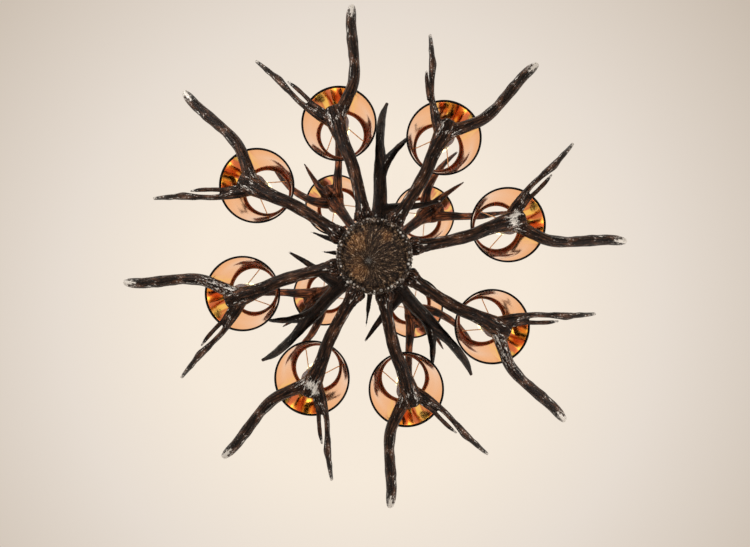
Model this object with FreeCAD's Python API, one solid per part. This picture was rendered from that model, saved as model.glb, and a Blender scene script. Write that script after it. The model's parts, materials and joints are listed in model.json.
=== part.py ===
import FreeCAD, Part
import math
import os

# Antler chandelier with twelve shaded lamps in two tiers, hung from a ceiling by a short chain.
# Millimetres, +Z up. The origin is the middle of the ceiling bracket's top face, on the ceiling.
# Angles are counted about +Z from +X. "Out" is away from the column, "side" is towards growing angles.

# ---- driving dimensions ----
# ceiling bracket and canopy
BRACKET_LENGTH = 110.0
BRACKET_WIDTH = 22.0
BRACKET_THICK = 3.0
BRACKET_CHAMFER = 6.6
FIXING_SPACING = 88.0  # between the two ceiling screws
FIXING_HOLE_R = 2.75
CANOPY_TOP_R = 62.0
CANOPY_BOTTOM_R = 50.0
CANOPY_DEPTH = 28.0
CANOPY_WALL = 1.5
CANOPY_SCREW_SPACING = 64.0
CANOPY_SCREW_R = 2.0
CANOPY_NUT_R = 4.5
CANOPY_NUT_HEIGHT = 7.0
CANOPY_NUT_TIP_R = 2.25
CANOPY_NUT_CROWN = 2.8  # height of its tapered end
BUSH_R = 6.0  # bush for the lead in the canopy
BUSH_BORE_R = 3.0
BUSH_LIP = 2.0
BUSH_OFFSET = 24.0
NIPPLE_R = 5.0  # threaded nipple of the canopy loop
NIPPLE_NUT_R = 9.0
NIPPLE_NUT_HEIGHT = 5.0
COLLAR_R = 11.0  # collar under each loop
COLLAR_HEIGHT = 13.0

# chain
WIRE_R = 3.0  # wire of the loops and links
LOOP_R = 14.0  # centreline radius of the round loops
LINK_END_R = 8.0  # centreline radius of a link's ends
LINK_LENGTH = 40.0  # between the centrelines of a link's two ends
LINK_COUNT = 4
LINK_GAP = 0.3  # from wire to wire where one link hangs in the next

# column and hubs; heights are measured from the lower shades' bottom rims
COLUMN_R = 9.0
COLUMN_BORE_R = 6.5
COLUMN_TOP = 336.0
FIT = 0.1  # radial clearance of what slides over a tube
NUT_R = 17.0
NUT_HEIGHT = 8.0
LOWER_HUB_FLAT = 46.0  # from the axis to each of its flats, one square to each antler
LOWER_HUB_BOTTOM = -142.0
LOWER_HUB_TOP = -88.0
SPIKE_HUB_R = 40.0
SPIKE_HUB_TOP = -30.0
UPPER_HUB_FLAT = 36.0
UPPER_HUB_HEIGHT = 58.0

# burr disc under the hub
BURR_R = 61.5
BURR_DEPTH = 19.0
BURR_OUTLINE = ((0.88, 0.0), (1.0, 0.42), (0.9, 0.75), (0.5, 1.0))  # shares of its radius and depth
BURR_LOBES = 18
BURR_LOBE_DEPTH = 1.6

# lamps; the spacing is not quite even, and each tier is numbered towards falling angles
LOWER_ANGLES = (-13.2, -59.6, -105.0, -149.1, -195.9, -242.9, -283.4, -329.0)
UPPER_ANGLES = (-39.5, -127.2, -217.5, -306.3)
LOWER_LAMP_OUT = 257.0
UPPER_LAMP_OUT = 147.0
TIER_RISE = 260.0  # from the lower shades' rims to the upper shades' rims

SHADE_BOTTOM_R = 70.0
SHADE_TOP_R = 49.5
SHADE_HEIGHT = 115.0
SHADE_WALL = 1.5
SPIDER_ARMS = 3
ARM_WIDTH = 2.4
ARM_THICK = 1.8
ARM_TOP_INSET = 4.0  # the arms meet the wall this far below its top rim
ARM_LAP = 1.0  # how far the arms reach in over the fitter ring
FITTER_RING_R = 17.0
FITTER_RING_THICK = 2.0

CUP_DROP = 26.0  # the cup's seat on the antler, below the shade's rim
CUP_FOOT_R = 12.0
CUP_RIM_R = 19.0
CUP_HEIGHT = 15.0
CUP_FLOOR = 5.0
CUP_LIP = 1.5
SLEEVE_R = 12.0
SHOULDER_HEIGHT = 30.0  # where the shade sits, above its own rim
NECK_R = 10.5
NECK_HEIGHT = 10.0
SOCKET_R = 7.1
SOCKET_DEPTH = 24.0
TURN_GAP = 0.3  # about the fitter ring, so that the shade turns
SHADE_NUT_R = 13.0
SHADE_NUT_HEIGHT = 4.5
BULB_CAP_R = 6.9
BULB_CAP_SHOWS = 1.0  # of the cap above the socket's mouth
BULB_R = 17.5
BULB_BELLY = 22.0  # height of the widest place above the socket's mouth
BULB_LENGTH = 66.0  # glass above the socket's mouth
BULB_TIP_R = 2.0
BULB_SHOULDER = (0.62, 0.72)  # shares of its radius and length where it starts to draw in to the tip

# antlers
BOSS_R = 11.0  # post that the cup stands on
LOWER_SOCKET_DROP = 90.0  # from the lower cups' seats down to the beams' middle at the hub
UPPER_SOCKET_DROP = 104.0
SPIKE_ANGLES = (-85.5, 50.6, 136.9)
SPIKE_SOCKET = -62.0  # height of the spike antlers' middle at the hub
# spurs' (out, side, height, half width) stations beyond the lamp; one antler has its spur on the outside
INNER_SPUR = ((22, -25, -9, 6.5), (42, -39, 1, 4.6), (78, -57.5, 16, 4.3), (103, -75, 28, 1.8))
OUTER_SPUR = ((40, -57, 0, 5.2), (64, -75, 10, 4.5), (91, -92, 23, 1.8))
OUTER_SPUR_AT = 1  # which of the lower antlers, counted from 0
HUB_TINE_ANGLES = (96.9, 184.7, 200.8)
HUB_TINE_REACH = (133.0, 98.0, 127.0)
HUB_TINE_SOCKET = -42.0
HUB_TINE_RISES = (13.0, 32.0)  # above its socket, at the middle and at the tip
ROOT_DEPTH = 6.0  # how far inside the spike hub a tine starts, before it is trimmed

# round pieces are laid in flats: how many about each
SHADE_SIDES = 20
CANOPY_SIDES = 18
COLUMN_SIDES = 14
ROUND_SIDES = 8
TINE_SIDES = 5  # with a corner on top
BOSS_SIDES = 6
WIRE_SIDES = 6
LOOP_STEPS = 12
LINK_END_STEPS = 6
FLATNESS = 0.00001  # a patch this flat stays one face

# ---- places that follow ----
UP = FreeCAD.Vector(0, 0, 1)
CANOPY_FLOOR = -CANOPY_DEPTH
UPPER_COLLAR_BOTTOM = CANOPY_FLOOR - COLLAR_HEIGHT
LINK_PITCH = LINK_LENGTH - 2 * WIRE_R - LINK_GAP
CHAIN_TOP = UPPER_COLLAR_BOTTOM - 2 * LOOP_R + 2 * WIRE_R + LINK_GAP
TOP_LOOP_TOP = CHAIN_TOP - LINK_PITCH * LINK_COUNT
COLUMN_TOP_Z = TOP_LOOP_TOP - 2 * LOOP_R - COLLAR_HEIGHT
RIM_Z = COLUMN_TOP_Z - COLUMN_TOP  # the lower shades' bottom rims


def circle_points(corner_r, sides, height, start=0.0):
    """Corners of a level regular polygon about Z; start turns it by that share of a side."""
    turns = [2 * math.pi * (k + start) / sides for k in range(sides)]
    return [FreeCAD.Vector(corner_r * math.cos(a), corner_r * math.sin(a), height) for a in turns]


def flat_face(points):
    return Part.Face(Part.makePolygon(points + points[:1]))


def skin(rings, closed=False):
    """Solid laid in flats through rings of corners, capped at each end unless it closes on itself."""
    pairs = list(zip(rings, rings[1:]))
    if closed:
        pairs.append((rings[-1], rings[0]))
        faces = []
    else:
        faces = [flat_face(rings[0]), flat_face(rings[-1])]
    for ring, following in pairs:
        for k in range(len(ring)):
            m = (k + 1) % len(ring)
            a, b, c, d = ring[k], ring[m], following[m], following[k]
            across = (b - a).cross(d - a)
            if abs((c - a).dot(across)) < FLATNESS * across.Length:
                faces.append(flat_face([a, b, c, d]))
            else:
                faces += [flat_face([a, b, c]), flat_face([a, c, d])]
    solid = Part.Solid(Part.Shell(faces))
    if solid.Volume < 0:
        solid.reverse()
    return solid


def lathe(outline, sides, start=0.0):
    """Upright round piece through (corner radius, height) points from one end to the other."""
    return skin([circle_points(r, sides, z, start) for r, z in outline])


def flat_sided(inner_r, sides, bottom, top):
    """Upright prism whose flats lie inner_r from Z, the first one facing +X."""
    corner_r = inner_r / math.cos(math.pi / sides)
    return lathe([(corner_r, bottom), (corner_r, top)], sides, 0.5)


def hub_block(angles, inner_r, bottom, top):
    """Upright block with a flat square to each of these falling angles, inner_r from Z."""
    corners = []
    for a, b in zip(angles, angles[1:] + (angles[0] - 360.0,)):
        corners.append((inner_r / math.cos(math.radians(a - b) / 2), math.radians(a + b) / 2))
    ring = [FreeCAD.Vector(r * math.cos(turn), r * math.sin(turn), bottom) for r, turn in corners]
    return skin([ring, [point + UP * (top - bottom) for point in ring]])


def bore(radius, sides, bottom, top):
    """Cutter that clears a round piece of this radius however it is turned."""
    corner_r = radius / math.cos(math.pi / sides)
    return lathe([(corner_r, bottom), (corner_r, top)], sides)


def moved(shape, x, y, z=0.0):
    copy = shape.copy()
    copy.translate(FreeCAD.Vector(x, y, z))
    return copy


def placed(shape, angle, out=0.0, height=0.0):
    """Copy of a shape turned about Z by angle, after a move out and up."""
    copy = moved(shape, out, 0, height)
    copy.rotate(FreeCAD.Vector(), UP, angle)
    return copy


def section(centre, along, half_width, half_height):
    """Corners of a closed polygon across a run, its first axis level."""
    level = UP.cross(along).normalize()
    rise = along.cross(level)
    points = []
    for k in range(TINE_SIDES):
        a = 2 * math.pi * k / TINE_SIDES + math.pi / 2
        points.append(centre + level * (half_width * math.cos(a)) + rise * (half_height * math.sin(a)))
    return points


def tine(stations, square_base=False):
    """Tapering branch through (out, side, height, half width[, half height]) stations."""
    centres = [FreeCAD.Vector(*s[:3]) for s in stations]
    rings = []
    for k, s in enumerate(stations):
        before, after = centres[max(k - 1, 0)], centres[min(k + 1, len(centres) - 1)]
        along = (after - before).normalize()
        if k == 0 and square_base:
            along = FreeCAD.Vector(1, 0, 0)
        rings.append(section(centres[k], along, s[3], s[-1]))
    return skin(rings)


def joined(pieces):
    """One solid from pieces that grow into each other."""
    whole = pieces[0].multiFuse(pieces[1:])
    solid = whole.Solids[0]
    if len(whole.Solids) != 1 or not solid.isValid():
        raise ValueError("pieces that should grow together came apart")
    return solid


def wire_path(points, plane_angle):
    """Closed loop of round wire through (across, height) points, in an upright plane."""
    turn = FreeCAD.Rotation(UP, plane_angle)
    rings = []
    for k in range(len(points)):
        (x0, z0), (x1, z1) = points[k - 1], points[(k + 1) % len(points)]
        along = FreeCAD.Vector(x1 - x0, 0, z1 - z0).normalize()
        side = along.cross(FreeCAD.Vector(0, 1, 0))
        ring = []
        for n in range(WIRE_SIDES):
            a = 2 * math.pi * (n + 0.5) / WIRE_SIDES
            offset = side * (WIRE_R * math.cos(a)) + FreeCAD.Vector(0, WIRE_R * math.sin(a), 0)
            ring.append(turn.multVec(FreeCAD.Vector(points[k][0], 0, points[k][1]) + offset))
        rings.append(ring)
    return skin(rings, closed=True)


def arc_points(middle_z, radius, first, last, steps):
    """(across, height) points on an arc about (0, middle_z), angles in degrees."""
    out = []
    for k in range(steps + 1):
        a = math.radians(first + (last - first) * k / steps)
        out.append((radius * math.cos(a), middle_z + radius * math.sin(a)))
    return out


# ---- ceiling side ----
def screw_places():
    return [(side * CANOPY_SCREW_SPACING / 2, 0) for side in (-1, 1)]


def ceiling_bracket():
    bar = Part.makeBox(BRACKET_LENGTH, BRACKET_WIDTH, BRACKET_THICK)
    bar.translate(FreeCAD.Vector(-BRACKET_LENGTH / 2, -BRACKET_WIDTH / 2, -BRACKET_THICK))
    bar = bar.makeChamfer(BRACKET_CHAMFER, [e for e in bar.Edges if abs(e.tangentAt(0).z) > 0.9])
    cuts = [bore(NIPPLE_R, ROUND_SIDES, -BRACKET_THICK, 0)]
    for side in (-1, 1):
        foot = FreeCAD.Vector(side * FIXING_SPACING / 2, 0, -BRACKET_THICK)
        cuts.append(Part.makeCylinder(FIXING_HOLE_R, BRACKET_THICK, foot))
    return bar.cut(Part.makeCompound(cuts))


def canopy():
    """Dished cover with holes for the nipple, the two screws and the lead's bush."""
    inner_floor = CANOPY_FLOOR + CANOPY_WALL
    outside = lathe([(CANOPY_BOTTOM_R, CANOPY_FLOOR), (CANOPY_TOP_R, 0)], CANOPY_SIDES)
    hollow = [(CANOPY_BOTTOM_R - CANOPY_WALL, inner_floor), (CANOPY_TOP_R - CANOPY_WALL, 0)]
    cuts = [lathe(hollow, CANOPY_SIDES), bore(NIPPLE_R + FIT, ROUND_SIDES, CANOPY_FLOOR, inner_floor)]
    cuts.append(moved(bore(BUSH_R, ROUND_SIDES, CANOPY_FLOOR, inner_floor), 0, BUSH_OFFSET))
    for at in screw_places():
        cuts.append(moved(bore(CANOPY_SCREW_R + FIT, ROUND_SIDES, CANOPY_FLOOR, inner_floor), *at))
    return outside.cut(Part.makeCompound(cuts))


def canopy_screws():
    """Two studs from the bracket through the canopy, each with its crowned nut."""
    nut_bottom = CANOPY_FLOOR - CANOPY_NUT_HEIGHT
    screw = lathe([
        (CANOPY_NUT_TIP_R, nut_bottom), (CANOPY_NUT_R, nut_bottom + CANOPY_NUT_CROWN),
        (CANOPY_NUT_R, CANOPY_FLOOR), (CANOPY_SCREW_R, CANOPY_FLOOR), (CANOPY_SCREW_R, -BRACKET_THICK),
    ], ROUND_SIDES)
    return Part.makeCompound([moved(screw, *at) for at in screw_places()])


def lead_bush():
    """Lipped bush in the canopy, the way in for the lead."""
    lip_bottom = CANOPY_FLOOR - BUSH_LIP
    top = CANOPY_FLOOR + CANOPY_WALL
    lip_r = BUSH_R + BUSH_LIP
    bush = lathe([
        (lip_r, lip_bottom), (lip_r, CANOPY_FLOOR), (BUSH_R, CANOPY_FLOOR), (BUSH_R, top),
    ], ROUND_SIDES)
    return moved(bush.cut(bore(BUSH_BORE_R, ROUND_SIDES, lip_bottom, top)), 0, BUSH_OFFSET)


def round_loop(top_z, plane_angle):
    last = 360.0 - 360.0 / LOOP_STEPS
    return wire_path(arc_points(top_z - LOOP_R, LOOP_R, 0, last, LOOP_STEPS - 1), plane_angle)


def canopy_loop():
    """Round loop under the canopy on a collar, with the nipple that goes up into the bracket."""
    stem = lathe([
        (COLLAR_R, UPPER_COLLAR_BOTTOM), (COLLAR_R, CANOPY_FLOOR), (NIPPLE_R, CANOPY_FLOOR), (NIPPLE_R, 0),
    ], ROUND_SIDES)
    return joined([stem, round_loop(UPPER_COLLAR_BOTTOM, 0)])


def nipple_nut():
    """Hexagon nut that holds the nipple in the bracket."""
    top = -BRACKET_THICK
    nut = flat_sided(NIPPLE_NUT_R, 6, top - NIPPLE_NUT_HEIGHT, top)
    return nut.cut(bore(NIPPLE_R, ROUND_SIDES, top - NIPPLE_NUT_HEIGHT, top))


def chain_link(number):
    """Link number 0 is the highest; every second link is turned by a quarter."""
    top = CHAIN_TOP - LINK_PITCH * number
    bottom = top - LINK_LENGTH
    points = arc_points(top - LINK_END_R, LINK_END_R, 0, 180, LINK_END_STEPS)
    points += arc_points(bottom + LINK_END_R, LINK_END_R, 180, 360, LINK_END_STEPS)
    return wire_path(points, 90 if number % 2 == 0 else 0)


# ---- column and hubs ----
def top_loop():
    collar_top = TOP_LOOP_TOP - 2 * LOOP_R
    collar = lathe([(COLLAR_R, collar_top - COLLAR_HEIGHT), (COLLAR_R, collar_top)], ROUND_SIDES)
    return joined([collar, round_loop(TOP_LOOP_TOP, 90 if LINK_COUNT % 2 == 0 else 0)])


def column():
    bottom = RIM_Z + LOWER_HUB_BOTTOM
    tube = lathe([(COLUMN_R, bottom), (COLUMN_R, COLUMN_TOP_Z)], COLUMN_SIDES)
    return tube.cut(lathe([(COLUMN_BORE_R, bottom), (COLUMN_BORE_R, COLUMN_TOP_Z)], COLUMN_SIDES))


def column_nuts():
    """Lock nuts above the spike hub and on both sides of the upper hub."""
    upper_bottom, upper_top = upper_hub_span()
    solids = []
    for bottom in (RIM_Z + SPIKE_HUB_TOP, upper_bottom - NUT_HEIGHT, upper_top):
        nut = flat_sided(NUT_R, 6, bottom, bottom + NUT_HEIGHT)
        solids.append(nut.cut(bore(COLUMN_R, COLUMN_SIDES, bottom, bottom + NUT_HEIGHT)))
    return Part.makeCompound(solids)


def lower_hub():
    bottom, top = RIM_Z + LOWER_HUB_BOTTOM, RIM_Z + LOWER_HUB_TOP
    block = hub_block(LOWER_ANGLES, LOWER_HUB_FLAT, bottom, top)
    return block.cut(bore(COLUMN_R + FIT, COLUMN_SIDES, bottom, top))


def spike_hub():
    bottom, top = RIM_Z + LOWER_HUB_TOP, RIM_Z + SPIKE_HUB_TOP
    drum = lathe([(SPIKE_HUB_R, bottom), (SPIKE_HUB_R, top)], CANOPY_SIDES)
    return drum.cut(bore(COLUMN_R + FIT, COLUMN_SIDES, bottom, top))


def upper_hub_span():
    middle = RIM_Z + TIER_RISE - CUP_DROP - UPPER_SOCKET_DROP
    return middle - UPPER_HUB_HEIGHT / 2, middle + UPPER_HUB_HEIGHT / 2


def upper_hub():
    bottom, top = upper_hub_span()
    flats = []
    for a, b in zip(UPPER_ANGLES, UPPER_ANGLES[1:] + (UPPER_ANGLES[0] - 360.0,)):
        flats += [a, (a + b) / 2]
    block = hub_block(tuple(flats), UPPER_HUB_FLAT, bottom, top)
    return block.cut(bore(COLUMN_R + FIT, COLUMN_SIDES, bottom, top))


def burr_disc():
    """Disc with a pearled rim and a shallow crowned face below."""
    top = RIM_Z + LOWER_HUB_BOTTOM
    rings = []
    for share, drop in BURR_OUTLINE:
        ring = []
        for k in range(2 * BURR_LOBES):
            a = math.pi * k / BURR_LOBES
            r = share * (BURR_R - (BURR_LOBE_DEPTH if k % 2 else 0.0))
            ring.append(FreeCAD.Vector(r * math.cos(a), r * math.sin(a), top - BURR_DEPTH * drop))
        rings.append(ring)
    return skin(rings)


# ---- lamps, modelled about Z with the shade's bottom rim at height 0 ----
def shade():
    """Tapered wall, three sloping arms and the fitter ring, as one rolled and soldered piece."""
    wall = lathe([(SHADE_BOTTOM_R, 0), (SHADE_TOP_R, SHADE_HEIGHT)], SHADE_SIDES, 0.5)
    hollow = [(SHADE_BOTTOM_R - SHADE_WALL, 0), (SHADE_TOP_R - SHADE_WALL, SHADE_HEIGHT)]
    wall = wall.cut(lathe(hollow, SHADE_SIDES, 0.5))
    ring_bottom = SHOULDER_HEIGHT + TURN_GAP
    ring_top = ring_bottom + FITTER_RING_THICK
    ring = flat_sided(FITTER_RING_R, ROUND_SIDES, ring_bottom, ring_top)
    ring = ring.cut(bore(NECK_R + TURN_GAP, ROUND_SIDES, ring_bottom, ring_top))
    arm_top = SHADE_HEIGHT - ARM_TOP_INSET
    wall_r = SHADE_BOTTOM_R + (SHADE_TOP_R - SHADE_BOTTOM_R) * arm_top / SHADE_HEIGHT
    start = FreeCAD.Vector(FITTER_RING_R - ARM_LAP, 0, ring_bottom + ARM_THICK / 2)
    end = FreeCAD.Vector(wall_r - SHADE_WALL / 2, 0, arm_top)
    across = FreeCAD.Vector(0, ARM_WIDTH / 2, 0)
    thick = (end - start).cross(across).normalize() * (ARM_THICK / 2)
    foot = [start + across + thick, start - across + thick, start - across - thick, start + across - thick]
    arm = flat_face(foot).extrude(end - start)
    arms = [placed(arm, 360.0 * k / SPIDER_ARMS) for k in range(SPIDER_ARMS)]
    return joined([wall, ring] + arms)


def drip_cup():
    foot, floor, rim = -CUP_DROP, CUP_FLOOR - CUP_DROP, CUP_HEIGHT - CUP_DROP
    cup = lathe([(CUP_FOOT_R, foot), (CUP_RIM_R, rim)], ROUND_SIDES)
    inner_r = (SLEEVE_R + 2 * FIT) / math.cos(math.pi / ROUND_SIDES)
    return cup.cut(lathe([(inner_r, floor), (CUP_RIM_R - CUP_LIP, rim)], ROUND_SIDES))


def lampholder():
    """Candle sleeve with the shade's shoulder, the threaded neck and the bulb's socket."""
    top = SHOULDER_HEIGHT + NECK_HEIGHT
    foot = CUP_FLOOR - CUP_DROP
    body = lathe([
        (SLEEVE_R, foot), (SLEEVE_R, SHOULDER_HEIGHT), (NECK_R, SHOULDER_HEIGHT), (NECK_R, top),
    ], ROUND_SIDES)
    return body.cut(bore(SOCKET_R, ROUND_SIDES, top - SOCKET_DEPTH, top))


def shade_nut():
    bottom = SHOULDER_HEIGHT + FITTER_RING_THICK + 2 * TURN_GAP
    top = bottom + SHADE_NUT_HEIGHT
    nut = flat_sided(SHADE_NUT_R, ROUND_SIDES, bottom, top)
    return nut.cut(bore(NECK_R + FIT, ROUND_SIDES, bottom, top))


def bulb():
    """Candle bulb, its cap down in the socket."""
    mouth = SHOULDER_HEIGHT + NECK_HEIGHT
    return lathe([
        (BULB_CAP_R, mouth - SOCKET_DEPTH), (BULB_CAP_R, mouth + BULB_CAP_SHOWS),
        (BULB_R, mouth + BULB_BELLY),
        (BULB_R * BULB_SHOULDER[0], mouth + BULB_LENGTH * BULB_SHOULDER[1]),
        (BULB_TIP_R, mouth + BULB_LENGTH),
    ], ROUND_SIDES)


# ---- antlers, modelled along +X; heights are from the cup's seat, or from the lower rims for the spikes ----
def boss(out, bottom):
    """Short post that carries the drip cup, up to the seat."""
    return moved(flat_sided(BOSS_R, BOSS_SIDES, bottom, 0), out, 0)


def beam_stations(hub_flat, lamp_out, socket_drop, fork_drop, shares):
    """Stations from the hub to the lamp, given as (share of the run, share of the rise left, side, sizes)."""
    run = lamp_out - hub_flat
    drop = socket_drop - fork_drop
    return [(hub_flat + run * s[0], s[2], -fork_drop - drop * s[1]) + s[3:] for s in shares]


def beyond(lamp_out, stations):
    """Stations given outwards from the lamp's axis."""
    return [(lamp_out + s[0],) + s[1:] for s in stations]


def lower_antler(spur):
    """Beam with a coronet by the hub, a webbed fork under the lamp, a thick and a thin tine and a spur."""
    fork_drop = 20.0
    beam = tine(beam_stations(LOWER_HUB_FLAT, LOWER_LAMP_OUT, LOWER_SOCKET_DROP, fork_drop, [
        (0.0, 1.0, 0, 14.5),
        (0.07, 0.985, 0, 14.0),
        (0.115, 0.97, 0, 17.0),
        (0.17, 0.94, 1, 12.0),
        (0.30, 0.82, 3, 10.8),
        (0.60, 0.51, 2.5, 10.9),
        (0.82, 0.22, -3, 13.0, 12.0),
        (0.99, 0.0, -4.5, 20.0, 13.0),
        (1.055, -0.03, -5, 18.5, 12.0),
        (1.085, -0.05, -5.5, 12.0, 9.0),
    ]), square_base=True)
    thick = tine(beyond(LOWER_LAMP_OUT, [
        (-8, -2, -fork_drop, 14.0),
        (30, 25, -9, 11.3),
        (58, 44, 2, 11.0),
        (85, 53.5, 14, 11.2),
        (118, 60.5, 30, 10.6),
        (186, 71.5, 67, 10.9),
        (220, 80.5, 86, 9.6),
        (237, 87, 96, 4.0),
    ]))
    thin = tine(beyond(LOWER_LAMP_OUT, [
        (-10, -4, -fork_drop, 13.0),
        (24, -38, -8, 9.0),
        (51, -58, 7, 5.8),
        (79, -72, 24, 5.6),
        (109, -87, 44, 7.0),
        (142, -104.5, 70, 5.6),
        (184, -128, 116, 3.8),
        (190, -131.5, 122, 2.0),
    ]))
    return joined([beam, thick, thin, tine(beyond(LOWER_LAMP_OUT, spur)), boss(LOWER_LAMP_OUT, -fork_drop)])


def upper_antler():
    palm_drop = 17.0
    beam = tine(beam_stations(UPPER_HUB_FLAT, UPPER_LAMP_OUT, UPPER_SOCKET_DROP, palm_drop, [
        (0.0, 1.0, 0, 12.5),
        (0.14, 0.96, 0, 16.0),
        (0.24, 0.88, 0, 10.5),
        (0.52, 0.58, 0, 9.8),
        (0.80, 0.25, 1, 13.0, 10.0),
        (0.95, 0.08, 2, 20.0, 9.5),
        (1.12, 0.0, 5, 29.0, 8.5),
        (1.27, -0.05, 3, 23.0, 7.5),
    ]), square_base=True)
    middle = tine(beyond(UPPER_LAMP_OUT, [
        (20, 2, -15, 14.0),
        (46, -6, -9, 9.0),
        (69, -5, -2, 6.8),
        (120, 0, 14, 1.8),
    ]))
    clockwise = tine(beyond(UPPER_LAMP_OUT, [
        (12, 14, -16, 12.0),
        (46, 43, -4, 10.0),
        (84, 73, 16, 8.6),
        (131, 103, 51, 6.5),
        (174, 126, 91, 2.0),
    ]))
    counter = tine(beyond(UPPER_LAMP_OUT, [
        (12, -13, -16, 12.0),
        (33, -34, -8, 10.0),
        (58, -47, 4, 8.5),
        (86, -57, 20, 7.5),
        (120, -63, 45, 6.2),
        (165, -66, 84, 2.5),
    ]))
    return joined([beam, middle, clockwise, counter, boss(UPPER_LAMP_OUT, -palm_drop)])


def against_hub(shape):
    """Trims what grows out of the spike hub to its wall."""
    return shape.cut(lathe([(SPIKE_HUB_R, LOWER_HUB_BOTTOM), (SPIKE_HUB_R, COLUMN_TOP)], CANOPY_SIDES))


def from_hub(socket, stations):
    """Stations given outwards from the spike hub's wall, and upwards from a socket."""
    return [(SPIKE_HUB_R + s[0], s[1], socket + s[2]) + s[3:] for s in stations]


def spike_antler(angle):
    main = tine(from_hub(SPIKE_SOCKET, [
        (-ROOT_DEPTH, 0, 0, 12.0),
        (24, 1, 6, 15.5),
        (44, 2, 17, 14.0),
        (107, -1, 55, 12.6),
        (150, -4, 87, 10.8),
        (204, -8, 128, 9.4),
        (243, -6.5, 160, 7.8),
        (268, -2, 181, 5.4),
        (282, 2, 193, 2.4),
    ]))
    branch = tine(from_hub(SPIKE_SOCKET, [
        (120, 2, 66, 10.5),
        (150, 14, 90, 8.6),
        (180, 33, 114, 6.2),
        (208, 55, 160, 1.8),
    ]))
    brow = tine(from_hub(SPIKE_SOCKET, [
        (34, -4, 14, 12.5),
        (45, 24, 20, 12.0),
        (53, 48, 27, 7.6),
        (62, 84, 38, 5.0),
        (71, 115, 50, 1.8),
    ]))
    return against_hub(placed(joined([main, branch, brow]), angle))


def hub_tine(angle, reach):
    length = reach - SPIKE_HUB_R
    shape = tine(from_hub(HUB_TINE_SOCKET, [
        (-ROOT_DEPTH, 0, 0, 6.5),
        ((length - ROOT_DEPTH) / 2, 0, HUB_TINE_RISES[0], 4.6),
        (length, 0, HUB_TINE_RISES[1], 1.4),
    ]))
    return against_hub(placed(shape, angle))


# ---- the assembly ----
def export(name, shape):
    shape.exportStep("parts/" + name + ".step")


def export_tier(tier, angles, out, rim_z, antlers):
    """Writes a tier's antlers and shades one by one, and its small lamp pieces in groups."""
    for k, angle in enumerate(angles):
        export(f"{tier}_antler_{k + 1}", placed(antlers[k], angle, 0, rim_z - CUP_DROP))
        export(f"{tier}_shade_{k + 1}", placed(shade(), angle, out, rim_z))
    small = (("drip_cups", drip_cup), ("lampholders", lampholder), ("shade_nuts", shade_nut), ("bulbs", bulb))
    for name, build in small:
        piece = build()
        export(f"{tier}_{name}", Part.makeCompound([placed(piece, a, out, rim_z) for a in angles]))


def main():
    os.makedirs("parts", exist_ok=True)
    export("ceiling_bracket", ceiling_bracket())
    export("canopy", canopy())
    export("canopy_screws", canopy_screws())
    export("lead_bush", lead_bush())
    export("canopy_loop", canopy_loop())
    export("nipple_nut", nipple_nut())
    for number in range(LINK_COUNT):
        export(f"chain_link_{number + 1}", chain_link(number))
    export("top_loop", top_loop())
    export("column", column())
    export("column_nuts", column_nuts())
    export("lower_hub", lower_hub())
    export("spike_hub", spike_hub())
    export("upper_hub", upper_hub())
    export("burr_disc", burr_disc())

    lower_antlers = [lower_antler(INNER_SPUR)] * len(LOWER_ANGLES)
    lower_antlers[OUTER_SPUR_AT] = lower_antler(OUTER_SPUR)
    export_tier("lower", LOWER_ANGLES, LOWER_LAMP_OUT, RIM_Z, lower_antlers)
    upper_antlers = [upper_antler()] * len(UPPER_ANGLES)
    export_tier("upper", UPPER_ANGLES, UPPER_LAMP_OUT, RIM_Z + TIER_RISE, upper_antlers)

    for k, angle in enumerate(SPIKE_ANGLES):
        export(f"spike_antler_{k + 1}", moved(spike_antler(angle), 0, 0, RIM_Z))
    tines = [moved(hub_tine(a, r), 0, 0, RIM_Z) for a, r in zip(HUB_TINE_ANGLES, HUB_TINE_REACH)]
    export("hub_tines", Part.makeCompound(tines))


main()
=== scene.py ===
"""Antler chandelier with twelve shaded lamps, dressed round its CAD frame. Metres, +Z up."""

import json
import math

import bpy
import numpy as np
from bpy.props import FloatProperty, FloatVectorProperty, IntProperty, PointerProperty
from mathutils import Matrix, Vector, noise


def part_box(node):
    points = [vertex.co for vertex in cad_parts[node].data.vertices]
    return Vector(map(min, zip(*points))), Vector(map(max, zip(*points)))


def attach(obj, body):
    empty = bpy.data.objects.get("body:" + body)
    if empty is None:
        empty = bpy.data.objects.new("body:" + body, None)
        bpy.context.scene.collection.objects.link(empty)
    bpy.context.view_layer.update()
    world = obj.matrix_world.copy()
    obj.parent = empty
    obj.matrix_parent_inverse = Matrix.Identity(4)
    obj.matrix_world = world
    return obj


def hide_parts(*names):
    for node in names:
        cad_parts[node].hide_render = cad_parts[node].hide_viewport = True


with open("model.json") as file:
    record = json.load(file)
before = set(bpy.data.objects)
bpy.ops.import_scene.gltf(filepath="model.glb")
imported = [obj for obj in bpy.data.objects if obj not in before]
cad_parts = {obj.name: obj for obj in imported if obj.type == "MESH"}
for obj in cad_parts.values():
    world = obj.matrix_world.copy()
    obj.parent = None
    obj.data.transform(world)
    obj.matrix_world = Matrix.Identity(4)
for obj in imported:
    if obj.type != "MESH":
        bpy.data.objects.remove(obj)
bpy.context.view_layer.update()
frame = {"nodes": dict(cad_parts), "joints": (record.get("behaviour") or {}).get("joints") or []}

bl_info = {
    "name": "Antler Chandelier",
    "version": (1, 0, 0),
    "blender": (4, 5, 0),
    "location": "3D View > Sidebar > Chandelier",
    "description": "Two tiers of cast antlers with foil-lined shades, on a chain",
    "category": "Add Mesh",
}

MM = 0.001

# ---- sizes of the frame that the pieces follow, in millimetres ----
CUP_DROP = 26.0  # the cups' seats, below the shades' bottom rims
LOWER_HUB_FLAT = 46.0
UPPER_HUB_FLAT = 36.0
SPIKE_HUB_R = 40.0
SPIKE_SOCKET = -62.0  # heights from the lower shades' bottom rims
HUB_TINE_SOCKET = -42.0
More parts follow.
